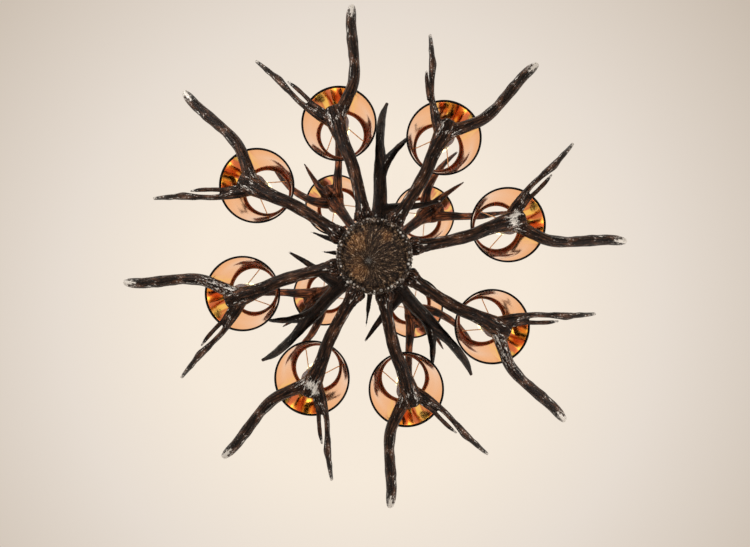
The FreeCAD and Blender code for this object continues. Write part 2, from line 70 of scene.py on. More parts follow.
# the lower antlers that differ: by a spur on the outer side, by a fork worn and given a painted highlight, or by a
# thick tine with a painted highlight along it
LOWER_KINDS = {1: "web worn and highlit", 2: "spurred", 5: "tine highlit", 6: "web worn and highlit", 8: "tine highlit"}
SPIKE_ANGLES = (-85.5, 50.6, 136.9)
HUB_TINES = ((96.9, 133.0), (184.7, 98.0), (200.8, 127.0))  # angle, reach
ROOT_DEPTH = 5.0  # how far each antler's root goes into its hub


def between(node):
    """Bottom and top of a CAD node in millimetres."""
    low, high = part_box(node)
    return low.z / MM, high.z / MM


def lamp_sites(tier):
    """(number, rim centre, angle) of each lamp in a tier, from the axis that its shade turns on."""
    sites = []
    for joint in frame["joints"]:
        if joint["name"].startswith(tier + "_shade_"):
            centre = Vector(joint["pos_m"])
            sites.append((int(joint["name"].split("_")[2]), centre, math.atan2(centre.y, centre.x)))
    return sites


LOWER_SITES = lamp_sites("lower")
UPPER_SITES = lamp_sites("upper")
TIERS = (("lower", LOWER_SITES), ("upper", UPPER_SITES))
LOWER_RIM_Z = LOWER_SITES[0][1].z
UPPER_RIM_Z = UPPER_SITES[0][1].z
LOWER_OUT = LOWER_SITES[0][1].xy.length / MM
UPPER_OUT = UPPER_SITES[0][1].xy.length / MM


# ---- what a user would change ----
def colour(name, description, default):
    return FloatVectorProperty(
        name=name, description=description, subtype="COLOR", size=3, min=0.0, max=1.0, default=default
    )


def length(name, description, default):
    return FloatProperty(name=name, description=description, default=default, min=0.0, unit="LENGTH")


class AntlerSettings(bpy.types.PropertyGroup):
    """Cast resin antlers"""
    voxel: length("Voxel", "Size of the grid that grows the tines together", 0.0018)
    groove_depth: length("Groove depth", "Depth of the grooves along the tines", 0.0007)
    pearl_height: length("Pearl height", "Height of the knobs about each coronet", 0.0024)
    dark: colour("Dark", "Ground colour of the resin", (0.005, 0.002, 0.001))
    brown: colour("Brown", "Stain of the lower antlers", (0.088, 0.038, 0.020))
    # the upper antlers' warm colour is brown stain with painted warm lamplight from the bulbs below
    warm: colour("Warm", "Stain of the upper antlers", (0.20, 0.060, 0.022))
    black: colour("Black", "Stain of the spike antlers", (0.045, 0.022, 0.013))
    # this pale silver paints real wear, and also painted highlights on forks, the thick tine and the tips' undersides
    worn: colour("Worn", "Rubbed ridges, forks and tips", (0.86, 0.82, 0.77))


class ShadeSettings(bpy.types.PropertyGroup):
    """Tapered shades"""
    sides: IntProperty(name="Sides", description="Flats about a shade", default=96, min=24)
    binding: length("Binding", "Width of the tape over each rim", 0.0032)
    wire: length("Wire", "Thickness of the spider's arms", 0.0022)
    cloth: colour("Cloth", "Outside of the shades", (0.006, 0.005, 0.005))
    foil: colour("Foil", "Lining of the shades", (0.94, 0.475, 0.21))
    # crease and amber are painted reflections in the foil: dark red of the antlers and amber of the lit bulb
    crease: colour("Crease", "Lining in its creases", (0.62, 0.12, 0.012))
    painted_bulb_reflection: colour("Amber", "Lining where it is nearest the lamp", (1.0, 0.60, 0.08))
    # the top ring is dark; its red-brown tint is a painted reflection of the lit foil
    ring_reflection_tint: colour("Lacquer", "Ring at the top of the shades", (0.15, 0.036, 0.018))
    brass: colour("Brass", "Spider and fitter ring", (0.95, 0.91, 0.74))


class LampSettings(bpy.types.PropertyGroup):
    """Lampholders and bulbs"""
    cup: colour("Cup", "Drip cups", (0.34, 0.29, 0.29))
    sleeve: colour("Sleeve", "Candle sleeves", (0.55, 0.47, 0.36))
    glow: colour("Glow", "Light of the bulbs", (1.0, 0.80, 0.42))
    strength: FloatProperty(name="Strength", description="Brightness of the bulbs", default=2.0, min=0.0)


class MetalSettings(bpy.types.PropertyGroup):
    """Chain, column, hubs and canopy"""
    bronze: colour("Bronze", "Painted steel", (0.045, 0.030, 0.022))
    rubbed: colour("Rubbed", "Where the paint is worn", (0.22, 0.15, 0.09))
    zinc: colour("Zinc", "Bracket and nuts", (0.55, 0.55, 0.54))


class StageSettings(bpy.types.PropertyGroup):
    """Room, light and camera"""
    below: length("Camera below rims", "From the lower shades' rims down to the camera", 1.135)
    lens: FloatProperty(name="Lens", description="Focal length in mm on a 36 mm sensor", default=29.09)
    # the ceiling's brighter middle is a painted pool of the bulbs' light
    pale: colour("Pale", "Middle of the ceiling", (0.92, 0.82, 0.70))
    edge: colour("Edge", "Outer parts of the ceiling", (0.80, 0.72, 0.64))
    far: colour("Far", "Corners of the room", (0.55, 0.47, 0.39))
    light: FloatProperty(name="Light", description="Strength of the room's own light", default=0.75)


SETTINGS = {
    "chandelier_antlers": AntlerSettings,
    "chandelier_shades": ShadeSettings,
    "chandelier_lamps": LampSettings,
    "chandelier_metal": MetalSettings,
    "chandelier_stage": StageSettings,
}


# ---- meshes ----
def mesh_of(name, corners, faces, sharp=40.0):
    """Smooth mesh through corners in millimetres, its edges sharp where it turns by more than that."""
    mesh = bpy.data.meshes.new(name)
    mesh.from_pydata([tuple(c * MM for c in corner) for corner in corners], [], faces)
    mesh.polygons.foreach_set("use_smooth", [True] * len(mesh.polygons))
    mesh.set_sharp_from_angle(angle=math.radians(sharp))
    mesh.update()
    return mesh


def rounded(corners, radius, steps=3):
    """Profile whose inner corners are rounded off."""
    points = [corners[0]]
    for before, corner, after in zip(corners, corners[1:], corners[2:]):
        here, back, forth = (Vector(p) for p in (corner, before, after))
        start = here + (back - here).normalized() * min(radius, (back - here).length * 0.45)
        end = here + (forth - here).normalized() * min(radius, (forth - here).length * 0.45)
        for k in range(steps + 1):
            t = k / steps
            points.append(tuple(start * (1 - t) ** 2 + here * (2 * t * (1 - t)) + end * t * t))
    return points + [corners[-1]]


def circle(sides):
    """Cosine and sine of evenly spaced angles."""
    return [(math.cos(math.tau * k / sides), math.sin(math.tau * k / sides)) for k in range(sides)]


def skin(rings, closed=False):
    """Corners and faces through rings of corners, capped at each end unless they close on themselves."""
    count, sides = len(rings), len(rings[0])
    faces = []
    for row in range(count if closed else count - 1):
        low, high = row * sides, (row + 1) % count * sides
        for k in range(sides):
            m = (k + 1) % sides
            faces.append((low + k, low + m, high + m, high + k))
    if not closed:
        faces.append(tuple(range(sides))[::-1])
        faces.append(tuple(range((count - 1) * sides, count * sides)))
    return [tuple(corner) for ring in rings for corner in ring], faces


def revolved(profile, sides=48, closed=False):
    """Round piece about Z through (radius, height) points."""
    return skin([[(r * c, r * s, z) for c, s in circle(sides)] for r, z in profile], closed)


def swept(points, radius, sides=12, closed=False):
    """Round wire along points."""
    path = [Vector(p) for p in points]
    last = len(path) - 1
    rings, normal = [], None
    for k, point in enumerate(path):
        after = path[(k + 1) % len(path)] if closed else path[min(k + 1, last)]
        before = path[k - 1] if closed else path[max(k - 1, 0)]
        along = (after - before).normalized()
        if normal is None:
            normal = along.orthogonal().normalized()
        normal = (normal - along * normal.dot(along)).normalized()
        other = along.cross(normal)
        rings.append([point + (normal * c + other * s) * radius for c, s in circle(sides)])
    return skin(rings, closed)


def shifted(shape, matrix):
    corners, faces = shape
    return [tuple(matrix @ Vector(c)) for c in corners], faces


def together(shapes):
    corners, faces = [], []
    for more_corners, more_faces in shapes:
        first = len(corners)
        corners += more_corners
        faces += [tuple(first + v for v in face) for face in more_faces]
    return corners, faces


def at(x=0.0, y=0.0, z=0.0, angle=0.0):
    """Placement that turns by an angle in radians about Z first."""
    return Matrix.Translation((x, y, z)) @ Matrix.Rotation(angle, 4, "Z")


def raised(profile, height):
    return [(r, z + height) for r, z in profile]


def linked(name, data):
    """New object in the scene."""
    item = bpy.data.objects.new(name, data)
    bpy.context.scene.collection.objects.link(item)
    return item


def add_piece(name, mesh, material, body, replaced=(), place=None):
    """Puts a finished mesh in the scene on the CAD body that carries it."""
    piece = linked(name, mesh)
    if place is not None:
        piece.matrix_world = place
    if not mesh.materials:
        mesh.materials.append(material)
    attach(piece, body)
    if replaced:
        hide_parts(*replaced)


def add_fitting(node, form, shape, body="chandelier", material=None, sharp=40.0):
    """Puts a fitting in the scene in place of its CAD node, in painted bronze unless a material is given."""
    mesh = mesh_of(node, *shape, sharp)
    add_piece(f"{node}_{form}", mesh, material or bronze(), body, [node])


# ---- materials ----
class Finish:
    """A material, or the world, under construction."""

    def __init__(self, name, kind="materials", output="OutputMaterial"):
        self.owner = getattr(bpy.data, kind).new(name)
        self.owner.use_nodes = True
        self.tree = self.owner.node_tree
        self.tree.nodes.clear()
        self.output = self.add(output)

    def put(self, socket, value):
        """Joins another node's output to a socket, or sets its value."""
        if isinstance(value, bpy.types.NodeSocket):
            self.tree.links.new(value, socket)
        else:
            socket.default_value = (*value, 1.0) if socket.type == "RGBA" else value

    def add(self, kind, inputs=None, **settings):
        """New node with these settings and inputs."""
        node = self.tree.nodes.new("ShaderNode" + kind)
        for key, value in settings.items():
            setattr(node, key, value)
        for key, value in (inputs or {}).items():
            self.put(node.inputs[key], value)
        return node

    def here(self):
        return self.add("TexCoord").outputs["Object"]

    def field(self, name, output="Fac"):
        """What a mesh carries under that name."""
        return self.add("Attribute", attribute_name=name).outputs[output]

    def stretched(self, vector, scale):
        return self.add("Mapping", {"Vector": vector, "Scale": scale}).outputs["Vector"]

    def noise(self, vector, scale, detail=4.0, roughness=0.55):
        inputs = {"Vector": vector, "Scale": scale, "Detail": detail, "Roughness": roughness}
        return self.add("TexNoise", inputs).outputs["Fac"]

    def ramp(self, factor, *stops):
        """Colour ramp through (place, colour or grey) stops."""
        node = self.add("ValToRGB", {"Fac": factor})
        elements = node.color_ramp.elements
        while len(elements) < len(stops):
            elements.new(0.5)
        for element, (place, value) in zip(elements, stops):
            element.position = place
            element.color = (*value, 1.0) if hasattr(value, "__len__") else (value, value, value, 1.0)
        return node.outputs["Color"]

    def mix(self, factor, first, second):
        return self.add("Mix", {0: factor, 6: first, 7: second}, data_type="RGBA").outputs[2]

    def math(self, operation, first, second):
        return self.add("Math", {0: first, 1: second}, operation=operation).outputs[0]

    def shares(self, first, share, second, other):
        """Sum of two values, each times its share."""
        return self.math("ADD", self.math("MULTIPLY", first, share), self.math("MULTIPLY", second, other))

    def spread(self, factor, low, high, start=0.0, end=1.0):
        inputs = {"Value": factor, "From Min": start, "From Max": end, "To Min": low, "To Max": high}
        return self.add("MapRange", inputs).outputs["Result"]

    def bump(self, height, distance, strength=1.0, **under):
        inputs = {"Height": height, "Distance": distance, "Strength": strength, **under}
        return self.add("Bump", inputs).outputs["Normal"]

    def seen(self):
        """1 where the camera, a mirror or a glass looks, and 0 for other light."""
        path = self.add("LightPath").outputs
        seen = self.math("MAXIMUM", path["Is Camera Ray"], path["Is Glossy Ray"])
        return self.math("MAXIMUM", seen, path["Is Transmission Ray"])

    def close(self, shader):
        """Finishes with a shader's output."""
        self.put(self.output.inputs["Surface"], shader)
        return self.owner

    def surface(self, **inputs):
        """Finishes with a Principled shader."""
        named = {key.replace("_", " "): value for key, value in inputs.items()}
        return self.close(self.add("BsdfPrincipled", named).outputs["BSDF"])


def scaled(tone, share):
    return [share * c for c in tone]


def antler_resin(name, stain_and_warm_light, bare=0.60):
    """Black glossy resin, stained along its grooves and rubbed to silver on ridges; the silver on forks, along the
    thick tine and under the tips is partly wear and partly painted highlight.

    Bare is how high a ridge stands before it turns silver."""
    look = bpy.context.scene.chandelier_antlers
    resin = Finish(name)
    grain = resin.field("grain", "Vector")
    ridge = resin.noise(resin.stretched(grain, (1.0, 1.0, 0.11)), 270.0, 5.0, 0.66)
    bark = resin.noise(resin.stretched(grain, (1.0, 1.0, 0.40)), 400.0, 3.0, 0.65)
    tone = resin.shares(ridge, 0.7, resin.noise(grain, 34.0, 2.0), 0.3)
    ground = resin.ramp(tone, (0.44, look.dark), (0.51, scaled(stain_and_warm_light, 0.25)), (0.58, stain_and_warm_light), (0.66, scaled(stain_and_warm_light, 2.6)))
    # the silver mask below is partly wear and partly painted highlight on forks, the thick tine and the tips'
    # undersides
    wear_and_highlight = resin.math("MULTIPLY", resin.math("MINIMUM", resin.field("wear_and_highlight"), 1.0), 0.27)
    height = resin.shares(bark, 0.6, ridge, 0.4)
    rubbed = resin.ramp(resin.math("ADD", height, wear_and_highlight), (bare, 0.0), (bare + 0.09, 1.0))
    return resin.surface(
        Base_Color=resin.mix(rubbed, ground, look.worn), Metallic=resin.spread(rubbed, 0.25, 0.45),
        Roughness=resin.spread(bark, 0.24, 0.46, 0.35, 0.65), Normal=resin.bump(height, 0.0026, 0.9),
        Specular_IOR_Level=0.15,
    )


def burr_fibre():
    """Broken fibres that run out from the middle of the burr disc, stained orange in places, and its pearls."""
    look = bpy.context.scene.chandelier_antlers
    burr = Finish("burr fibre")
    grain = burr.field("grain", "Vector")
    fibre = burr.noise(burr.stretched(grain, (1.0, 1.0, 0.40)), 12.0, 4.0, 0.72)
    speck = burr.noise(grain, 21.0, 2.0, 0.7)
    height = burr.shares(fibre, 0.6, speck, 0.4)
    plain = burr.ramp(
        height, (0.44, look.dark), (0.50, (0.030, 0.017, 0.010)), (0.56, (0.12, 0.070, 0.040)),
        (0.62, (0.55, 0.37, 0.23)),
    )
    stained = burr.ramp(
        height, (0.41, (0.012, 0.005, 0.003)), (0.47, (0.12, 0.050, 0.020)), (0.54, (0.34, 0.16, 0.060)),
        (0.61, (0.80, 0.50, 0.25)),
    )
    warm = burr.ramp(burr.field("warm"), (0.15, 0.0), (0.85, 1.0))
    wear_and_highlight = burr.math("MULTIPLY", burr.field("wear_and_highlight"), 0.25)
    pale = burr.ramp(burr.math("ADD", height, wear_and_highlight), (0.60, 0.0), (0.70, 1.0))
    return burr.surface(
        Base_Color=burr.mix(pale, burr.mix(warm, plain, stained), look.worn), Metallic=burr.spread(pale, 0.1, 0.6),
        Roughness=burr.spread(speck, 0.3, 0.55, 0.3, 0.7), Normal=burr.bump(height, 0.0030, 1.0),
        Specular_IOR_Level=0.2,
    )


def gold_foil():
    """Mirror-like copper-gold foil, wavy where it is glued down and finely creased, with painted reflections of the lit
    bulb and the dark antlers as lengthwise amber, orange and dark red streaks on its outer side.
    """
    look = bpy.context.scene.chandelier_shades
    foil = Finish("gold foil")
    level = foil.add("VectorMath", {0: foil.stretched(foil.here(), (1.0, 1.0, 0.0))}, operation="NORMALIZE")
    turn = level.outputs["Vector"]
    # the side facing away from the column, where the painted reflections go
    outer = foil.ramp(foil.add("SeparateXYZ", {"Vector": turn}).outputs["X"], (0.62, 0.0), (0.84, 1.0))
    leaning = foil.add("VectorMath", {0: turn, 1: foil.stretched(foil.here(), (1.5, 1.5, 2.5))}, operation="ADD")
    reflection_streak_noise = foil.noise(leaning.outputs["Vector"], 4.2, 1.0, 0.4)
    wave = foil.noise(foil.here(), 14.0, 0.0)
    crease = foil.noise(foil.here(), 160.0, 3.0)
    orange = [0.6 * a + 0.4 * b for a, b in zip(look.crease, look.painted_bulb_reflection)]
    # painted reflections in streaks: dark red of the antlers, orange, and amber of the lit bulb
    painted_reflection_streaks = foil.ramp(reflection_streak_noise, (0.38, look.crease), (0.46, orange), (0.54, look.painted_bulb_reflection), (0.66, look.foil))
    return foil.surface(
        Base_Color=foil.mix(outer, look.foil, painted_reflection_streaks), Metallic=1.0,
        Roughness=foil.spread(crease, 0.05, 0.12, 0.3, 0.7),
        Normal=foil.bump(crease, 0.0002, 0.3, Normal=foil.bump(wave, 0.012, 0.7)),
    )


def top_ring_painted_reflection():
    """Dark ring that holds each shade's top open, its red-brown tint a painted reflection of the lit foil."""
    tone = bpy.context.scene.chandelier_shades.ring_reflection_tint
    ring_reflection_tint = Finish("dark lacquer")
    cloud = ring_reflection_tint.noise(ring_reflection_tint.here(), 55.0, 3.0)
    scuff = ring_reflection_tint.noise(ring_reflection_tint.here(), 600.0, 3.0, 0.65)
    shade = ring_reflection_tint.mix(ring_reflection_tint.spread(cloud, 0.0, 1.0, 0.35, 0.65), scaled(tone, 0.4), scaled(tone, 1.5))
    rough = ring_reflection_tint.spread(scuff, 0.15, 0.35, 0.3, 0.7)
    return ring_reflection_tint.surface(Base_Color=shade, Roughness=rough, Normal=ring_reflection_tint.bump(scuff, 0.0002, 0.3))


def black_cloth():
    """Fine black weave of the shades' outsides and bindings."""
    look = bpy.context.scene.chandelier_shades
    cloth = Finish("black cloth")
    weave = cloth.field("weave", "Vector")
    warp, weft = (
        cloth.add("TexWave", {"Vector": weave, "Scale": 1.0, "Distortion": 0.6}, bands_direction=way).outputs["Fac"]
        for way in "XY"
    )
    threads = cloth.math("MULTIPLY", warp, weft)
    slub = cloth.noise(cloth.stretched(weave, (1.0, 0.06, 1.0)), 2.2, 3.0)
    return cloth.surface(
        Base_Color=cloth.mix(cloth.math("MULTIPLY", threads, slub), look.cloth, scaled(look.cloth, 3.2)),
        Roughness=cloth.spread(slub, 0.62, 0.85, 0.3, 0.7), Normal=cloth.bump(threads, 0.0003, 0.6),
        Specular_IOR_Level=0.1,
    )


def metal(name, tone, worn, metallic, low, high):
    """Brushed, cast or painted metal, rubbed in places."""
    steel = Finish(name)
    cloud = steel.noise(steel.here(), 60.0, 4.0)
    grit = steel.noise(steel.here(), 700.0, 3.0, 0.65)
    rubbed = steel.ramp(cloud, (0.50, 0.0), (0.72, 1.0))
    shade = steel.mix(steel.math("MULTIPLY", rubbed, grit), tone, worn)
    rough = steel.spread(cloud, low, high, 0.3, 0.7)
    return steel.surface(Base_Color=shade, Metallic=metallic, Roughness=rough, Normal=steel.bump(grit, 0.0003, 0.35))


def candle_sleeve():
    tone = bpy.context.scene.chandelier_lamps.sleeve
    sleeve = Finish("candle sleeve")
    cloud = sleeve.noise(sleeve.here(), 90.0, 3.0)
    drip = sleeve.noise(sleeve.stretched(sleeve.here(), (1.0, 1.0, 0.2)), 300.0, 2.0)
    return sleeve.surface(
        Base_Color=sleeve.mix(sleeve.spread(cloud, 0.0, 1.0, 0.35, 0.65), tone, scaled(tone, 0.72)),
        Roughness=sleeve.spread(drip, 0.35, 0.6, 0.3, 0.7), Normal=sleeve.bump(drip, 0.0005, 0.4),
        Subsurface_Weight=0.1, Subsurface_Scale=0.003,
    )


def moulded_plastic():
    plastic = Finish("moulded plastic")
    grit = plastic.noise(plastic.here(), 900.0, 2.0)
    tone = plastic.ramp(grit, (0.3, 0.012), (0.7, 0.03))
    return plastic.surface(
        Base_Color=tone, Roughness=plastic.spread(grit, 0.35, 0.55), Normal=plastic.bump(grit, 0.0002, 0.3)
    )


def lit_glass():
    """Warm frosted bulb, brighter in places."""
    look = bpy.context.scene.chandelier_lamps
    glass = Finish("lit glass")
    haze = glass.noise(glass.here(), 120.0, 2.0)
    bright = [min(1.0, c) for c in scaled(look.glow, 1.15)]
    return glass.surface(
        Base_Color=(0.95, 0.85, 0.68), Roughness=glass.spread(haze, 0.12, 0.25),
        Emission_Color=glass.mix(glass.spread(haze, 0.0, 1.0, 0.3, 0.7), look.glow, bright),
        Emission_Strength=look.strength,
    )


def material_named(name, make, *details):
    """The material of that name, made the first time it is asked for."""
    return bpy.data.materials.get(name) or make(*details)


def bronze():
    look = bpy.context.scene.chandelier_metal
    return material_named("painted bronze", metal, "painted bronze", look.bronze, look.rubbed, 0.55, 0.32, 0.5)


def zinc():
    tone = bpy.context.scene.chandelier_metal.zinc
    return material_named("zinc plate", metal, "zinc plate", tone, scaled(tone, 0.7), 1.0, 0.28, 0.42)


def plastic():
    return material_named("moulded plastic", moulded_plastic)


# ---- antlers ----
def beam_stations(hub_flat, lamp_out, socket_drop, fork_drop, shares):
    """Stations from the hub to the lamp, from (share of the run, share of the drop, side, sizes)."""
    run, drop = lamp_out - hub_flat, socket_drop - fork_drop
    return [(hub_flat + run * s[0], s[2], -fork_drop - drop * s[1]) + s[3:] for s in shares]


def beyond(out, stations, height=0.0):
    return [(out + s[0], s[1], height + s[2]) + s[3:] for s in stations]


def lower_tines(outer_spur):
    """Stations (out, side, height, half width[, half height]) of a lower antler, heights from the cup's seat."""
    beam = beam_stations(LOWER_HUB_FLAT, LOWER_OUT, 90.0, 20.0, [
        (-0.03, 1.0, 0, 14.0), (0.07, 0.985, 0, 13.6), (0.10, 0.975, 0, 15.6), (0.125, 0.965, 0, 16.0),
        (0.16, 0.945, 1, 12.6), (0.24, 0.87, 2.5, 10.6), (0.42, 0.70, 3.8, 10.6), (0.60, 0.51, 2.5, 10.8),
        (0.74, 0.33, -1, 11.8), (0.85, 0.17, -3.2, 13.8, 12.0), (0.94, 0.05, -4.2, 17.0, 12.5),
        (1.0, -0.01, -4.6, 18.6, 12.5), (1.05, -0.03, -5.2, 16.5, 11.5),
    ])
    thick = beyond(LOWER_OUT, [
        (-8, -2, -20, 13.0), (14, 12, -15, 11.6), (34, 28, -8, 10.8), (58, 44, 2, 10.6), (85, 53.5, 14, 10.8),
        (104, 58, 23, 10.2), (124, 61.5, 33, 10.6), (150, 65, 47, 11.2), (168, 68.5, 57, 10.4),
        (190, 72.5, 69, 10.9), (214, 79, 83, 10.0), (229, 84, 91.5, 7.6),
    ])
    thin = beyond(LOWER_OUT, [
        (-10, -4, -20, 12.0), (6, -23, -15, 9.6), (24, -38.5, -8, 8.0), (40, -51, 1, 6.2), (56, -61.5, 10, 5.2),
        (79, -73, 24, 5.2), (96, -81, 35, 6.0), (112, -88.5, 46, 6.9), (130, -98, 60, 6.2),
        (150, -109.5, 79, 5.2), (172, -121.5, 103, 4.2), (185, -129, 118, 3.4),
    ])
    if outer_spur:
        spur = beyond(LOWER_OUT, [(40, -57, 0, 5.0), (64, -75, 10, 4.4), (80, -85.5, 18, 3.4), (90, -91, 22, 2.2)])
    else:
        spur = beyond(LOWER_OUT, [
            (18, -22, -11, 7.0), (32, -31, -5, 5.2), (46, -40, 2, 4.3), (62, -48, 9, 4.2), (78, -57, 16, 4.3),
            (91, -65.5, 22, 3.5), (101, -72.5, 26, 2.0),
        ])
    post = beyond(LOWER_OUT, [(0, 0, -22, 11.5), (0, 0.01, -1, 11.0)])
    return [beam, thick, thin, spur, post]


def upper_tines():
    beam = beam_stations(UPPER_HUB_FLAT, UPPER_OUT, 104.0, 17.0, [
        (-0.06, 1.0, 0, 12.5), (0.10, 0.975, 0, 12.8), (0.145, 0.96, 0, 15.8), (0.22, 0.90, 0, 11.0),
        (0.36, 0.76, 0, 10.0), (0.52, 0.58, 0, 9.8), (0.74, 0.31, 1, 11.6), (0.90, 0.13, 1.5, 16.0, 9.6),
        (1.03, 0.03, 3, 23.5, 8.6), (1.14, -0.01, 5, 26.0, 7.8), (1.24, -0.05, 4, 21.0, 7.0),
    ])
    middle = beyond(UPPER_OUT, [
        (18, 2, -15, 14.0), (34, -3, -12, 10.5), (50, -6, -8, 8.2), (69, -5, -2, 6.4), (92, -3, 5, 4.6),
        (116, -0.5, 13, 2.2),
    ])
    clockwise = beyond(UPPER_OUT, [
        (8, 12, -17, 12.5), (26, 27, -11, 11.0), (46, 43, -4, 9.6), (64, 58, 5, 8.6), (84, 73, 16, 8.2),
        (107, 88, 32, 7.4), (131, 102, 51, 6.2), (155, 115, 73, 4.4), (172, 124.5, 90, 2.4),
    ])
    counter = beyond(UPPER_OUT, [
        (8, -11, -17, 12.0), (22, -25, -12, 10.6), (38, -38, -5, 9.2), (58, -47.5, 4, 8.2), (86, -57, 20, 7.4),
        (118, -63, 44, 6.2), (142, -65, 64, 4.8), (163, -66, 82, 2.8),
    ])
    post = beyond(UPPER_OUT, [(0, 0, -20, 11.5), (0, 0.01, -1, 11.0)])
    return [beam, middle, clockwise, counter, post]


def spike_tines():
    main = beyond(SPIKE_HUB_R, [
        (-ROOT_DEPTH, 0, 0, 12.0), (14, 0, 3, 12.4), (22, 1, 5.5, 15.2), (30, 1.5, 10, 13.6), (60, 2, 26, 13.0),
        (107, -1, 55, 12.2), (150, -4, 87, 10.4), (180, -6.5, 109, 9.2), (204, -8, 128, 9.0),
        (232, -7.5, 151, 8.0), (256, -4.5, 171, 6.4), (278, 1, 189, 3.4),
    ], SPIKE_SOCKET)
    branch = beyond(SPIKE_HUB_R, [
        (112, 0, 60, 10.0), (134, 6, 76, 9.4), (156, 17.5, 95, 7.6), (180, 33, 116, 5.8), (198, 46, 140, 3.8),
        (207, 54, 157, 2.2),
    ], SPIKE_SOCKET)
    brow = beyond(SPIKE_HUB_R, [
        (34, -4, 14, 12.0), (42, 14, 17, 12.6), (48, 32, 22, 10.6), (53, 50, 28, 7.4), (60, 78, 36, 5.4),
        (66, 98, 43, 3.8), (70.5, 113, 49, 2.2),
    ], SPIKE_SOCKET)
    return [main, branch, brow]


def hub_tine(reach):
    run = reach - SPIKE_HUB_R
    return [beyond(SPIKE_HUB_R, [
        (-ROOT_DEPTH, 0, 0, 6.5), (run / 2, 0, 13, 4.6), (run, 0, 32, 1.4),
    ], HUB_TINE_SOCKET)]


def curved(stations, step=3.0):
    """Rows of centre and half sizes along a smooth curve through the stations."""
    rows = np.array([(*s[:4], s[-1]) for s in stations], float)
    ends = np.vstack([2 * rows[0] - rows[1], rows, 2 * rows[-1] - rows[-2]])
    line = []
    for k in range(len(rows) - 1):
        p0, p1, p2, p3 = ends[k:k + 4]
        count = max(2, int(np.linalg.norm(p2[:3] - p1[:3]) / step))
        for n in range(count):
            t = n / count
            line.append(0.5 * (2 * p1 + (p2 - p0) * t + (2 * p0 - 5 * p1 + 4 * p2 - p3) * t * t
                               + (3 * p1 - p0 - 3 * p2 + p3) * t ** 3))
    line.append(rows[-1])
    line = np.array(line)
    line[:, 3:] = np.maximum(line[:, 3:], rows[:, 3:].min(0))
    return line


class Tine:
    """A curved branch: its centres, half sizes and the directions along, across and up at each."""

    def __init__(self, stations):
        line = curved(stations)
        self.centres, self.sizes = line[:, :3], line[:, 3:]
        along = np.gradient(self.centres, axis=0)
        self.along = along / np.linalg.norm(along, axis=1, keepdims=True)
        level = np.cross((0.0, 0.0, 1.0), self.along)
        level[np.linalg.norm(level, axis=1) < 1e-3] = (1.0, 0.0, 0.0)
        self.level = level / np.linalg.norm(level, axis=1, keepdims=True)
        self.rise = np.cross(self.along, self.level)
        steps = np.linalg.norm(np.diff(self.centres, axis=0), axis=1)
        self.run = np.concatenate([[0.0], np.cumsum(steps)])

    def tube(self, sides=20):
        """Closed tube with a rounded end."""
        rings = list(zip(self.centres, *self.sizes.T, self.level, self.rise))
        middle, wide, high, across, up = rings[-1]
        for share, shrink in ((0.5, 0.84), (0.8, 0.55)):
            rings.append((middle + self.along[-1] * wide * share, wide * shrink, high * shrink, across, up))
        return skin([
            [middle + across * wide * c + up * high * s for c, s in circle(sides)]
            for middle, wide, high, across, up in rings
        ])


def grown_together(name, shape, voxel, smooth=6):
    """One skin over overlapping tubes, softened where they fork."""
    rough = linked(name + " tubes", mesh_of(name + " tubes", *shape))
    remesh = rough.modifiers.new("Grow together", "REMESH")
    remesh.mode, remesh.voxel_size = "VOXEL", voxel
    soften = rough.modifiers.new("Soften", "SMOOTH")
    soften.factor, soften.iterations = 0.5, smooth
    depsgraph = bpy.context.evaluated_depsgraph_get()
    mesh = bpy.data.meshes.new_from_object(rough.evaluated_get(depsgraph))
    mesh.name = name
    tubes = rough.data
    bpy.data.objects.remove(rough)
    bpy.data.meshes.remove(tubes)
    return mesh


def set_attribute(mesh, name, kind, values):
    attribute = mesh.attributes.new(name, kind, "POINT")
    field = "vector" if kind == "FLOAT_VECTOR" else "value"
    attribute.data.foreach_set(field, np.asarray(values, np.float32).ravel())


GROOVES = ((1.0, 2.6, 38.0), (0.5, 5.5, 22.0))  # share of the depth, how close about a tine, how long
LUMP_SIZE, LUMP_HEIGHT = 26.0, 0.9
PEARL_SIZE = 5.6
GRAIN_APART = 37.0  # in the noise, from one tine to the next


def bell(distance, size):
    """1 in the middle, falling to 0 about two sizes away."""
    return math.exp(-(distance / size) ** 2)


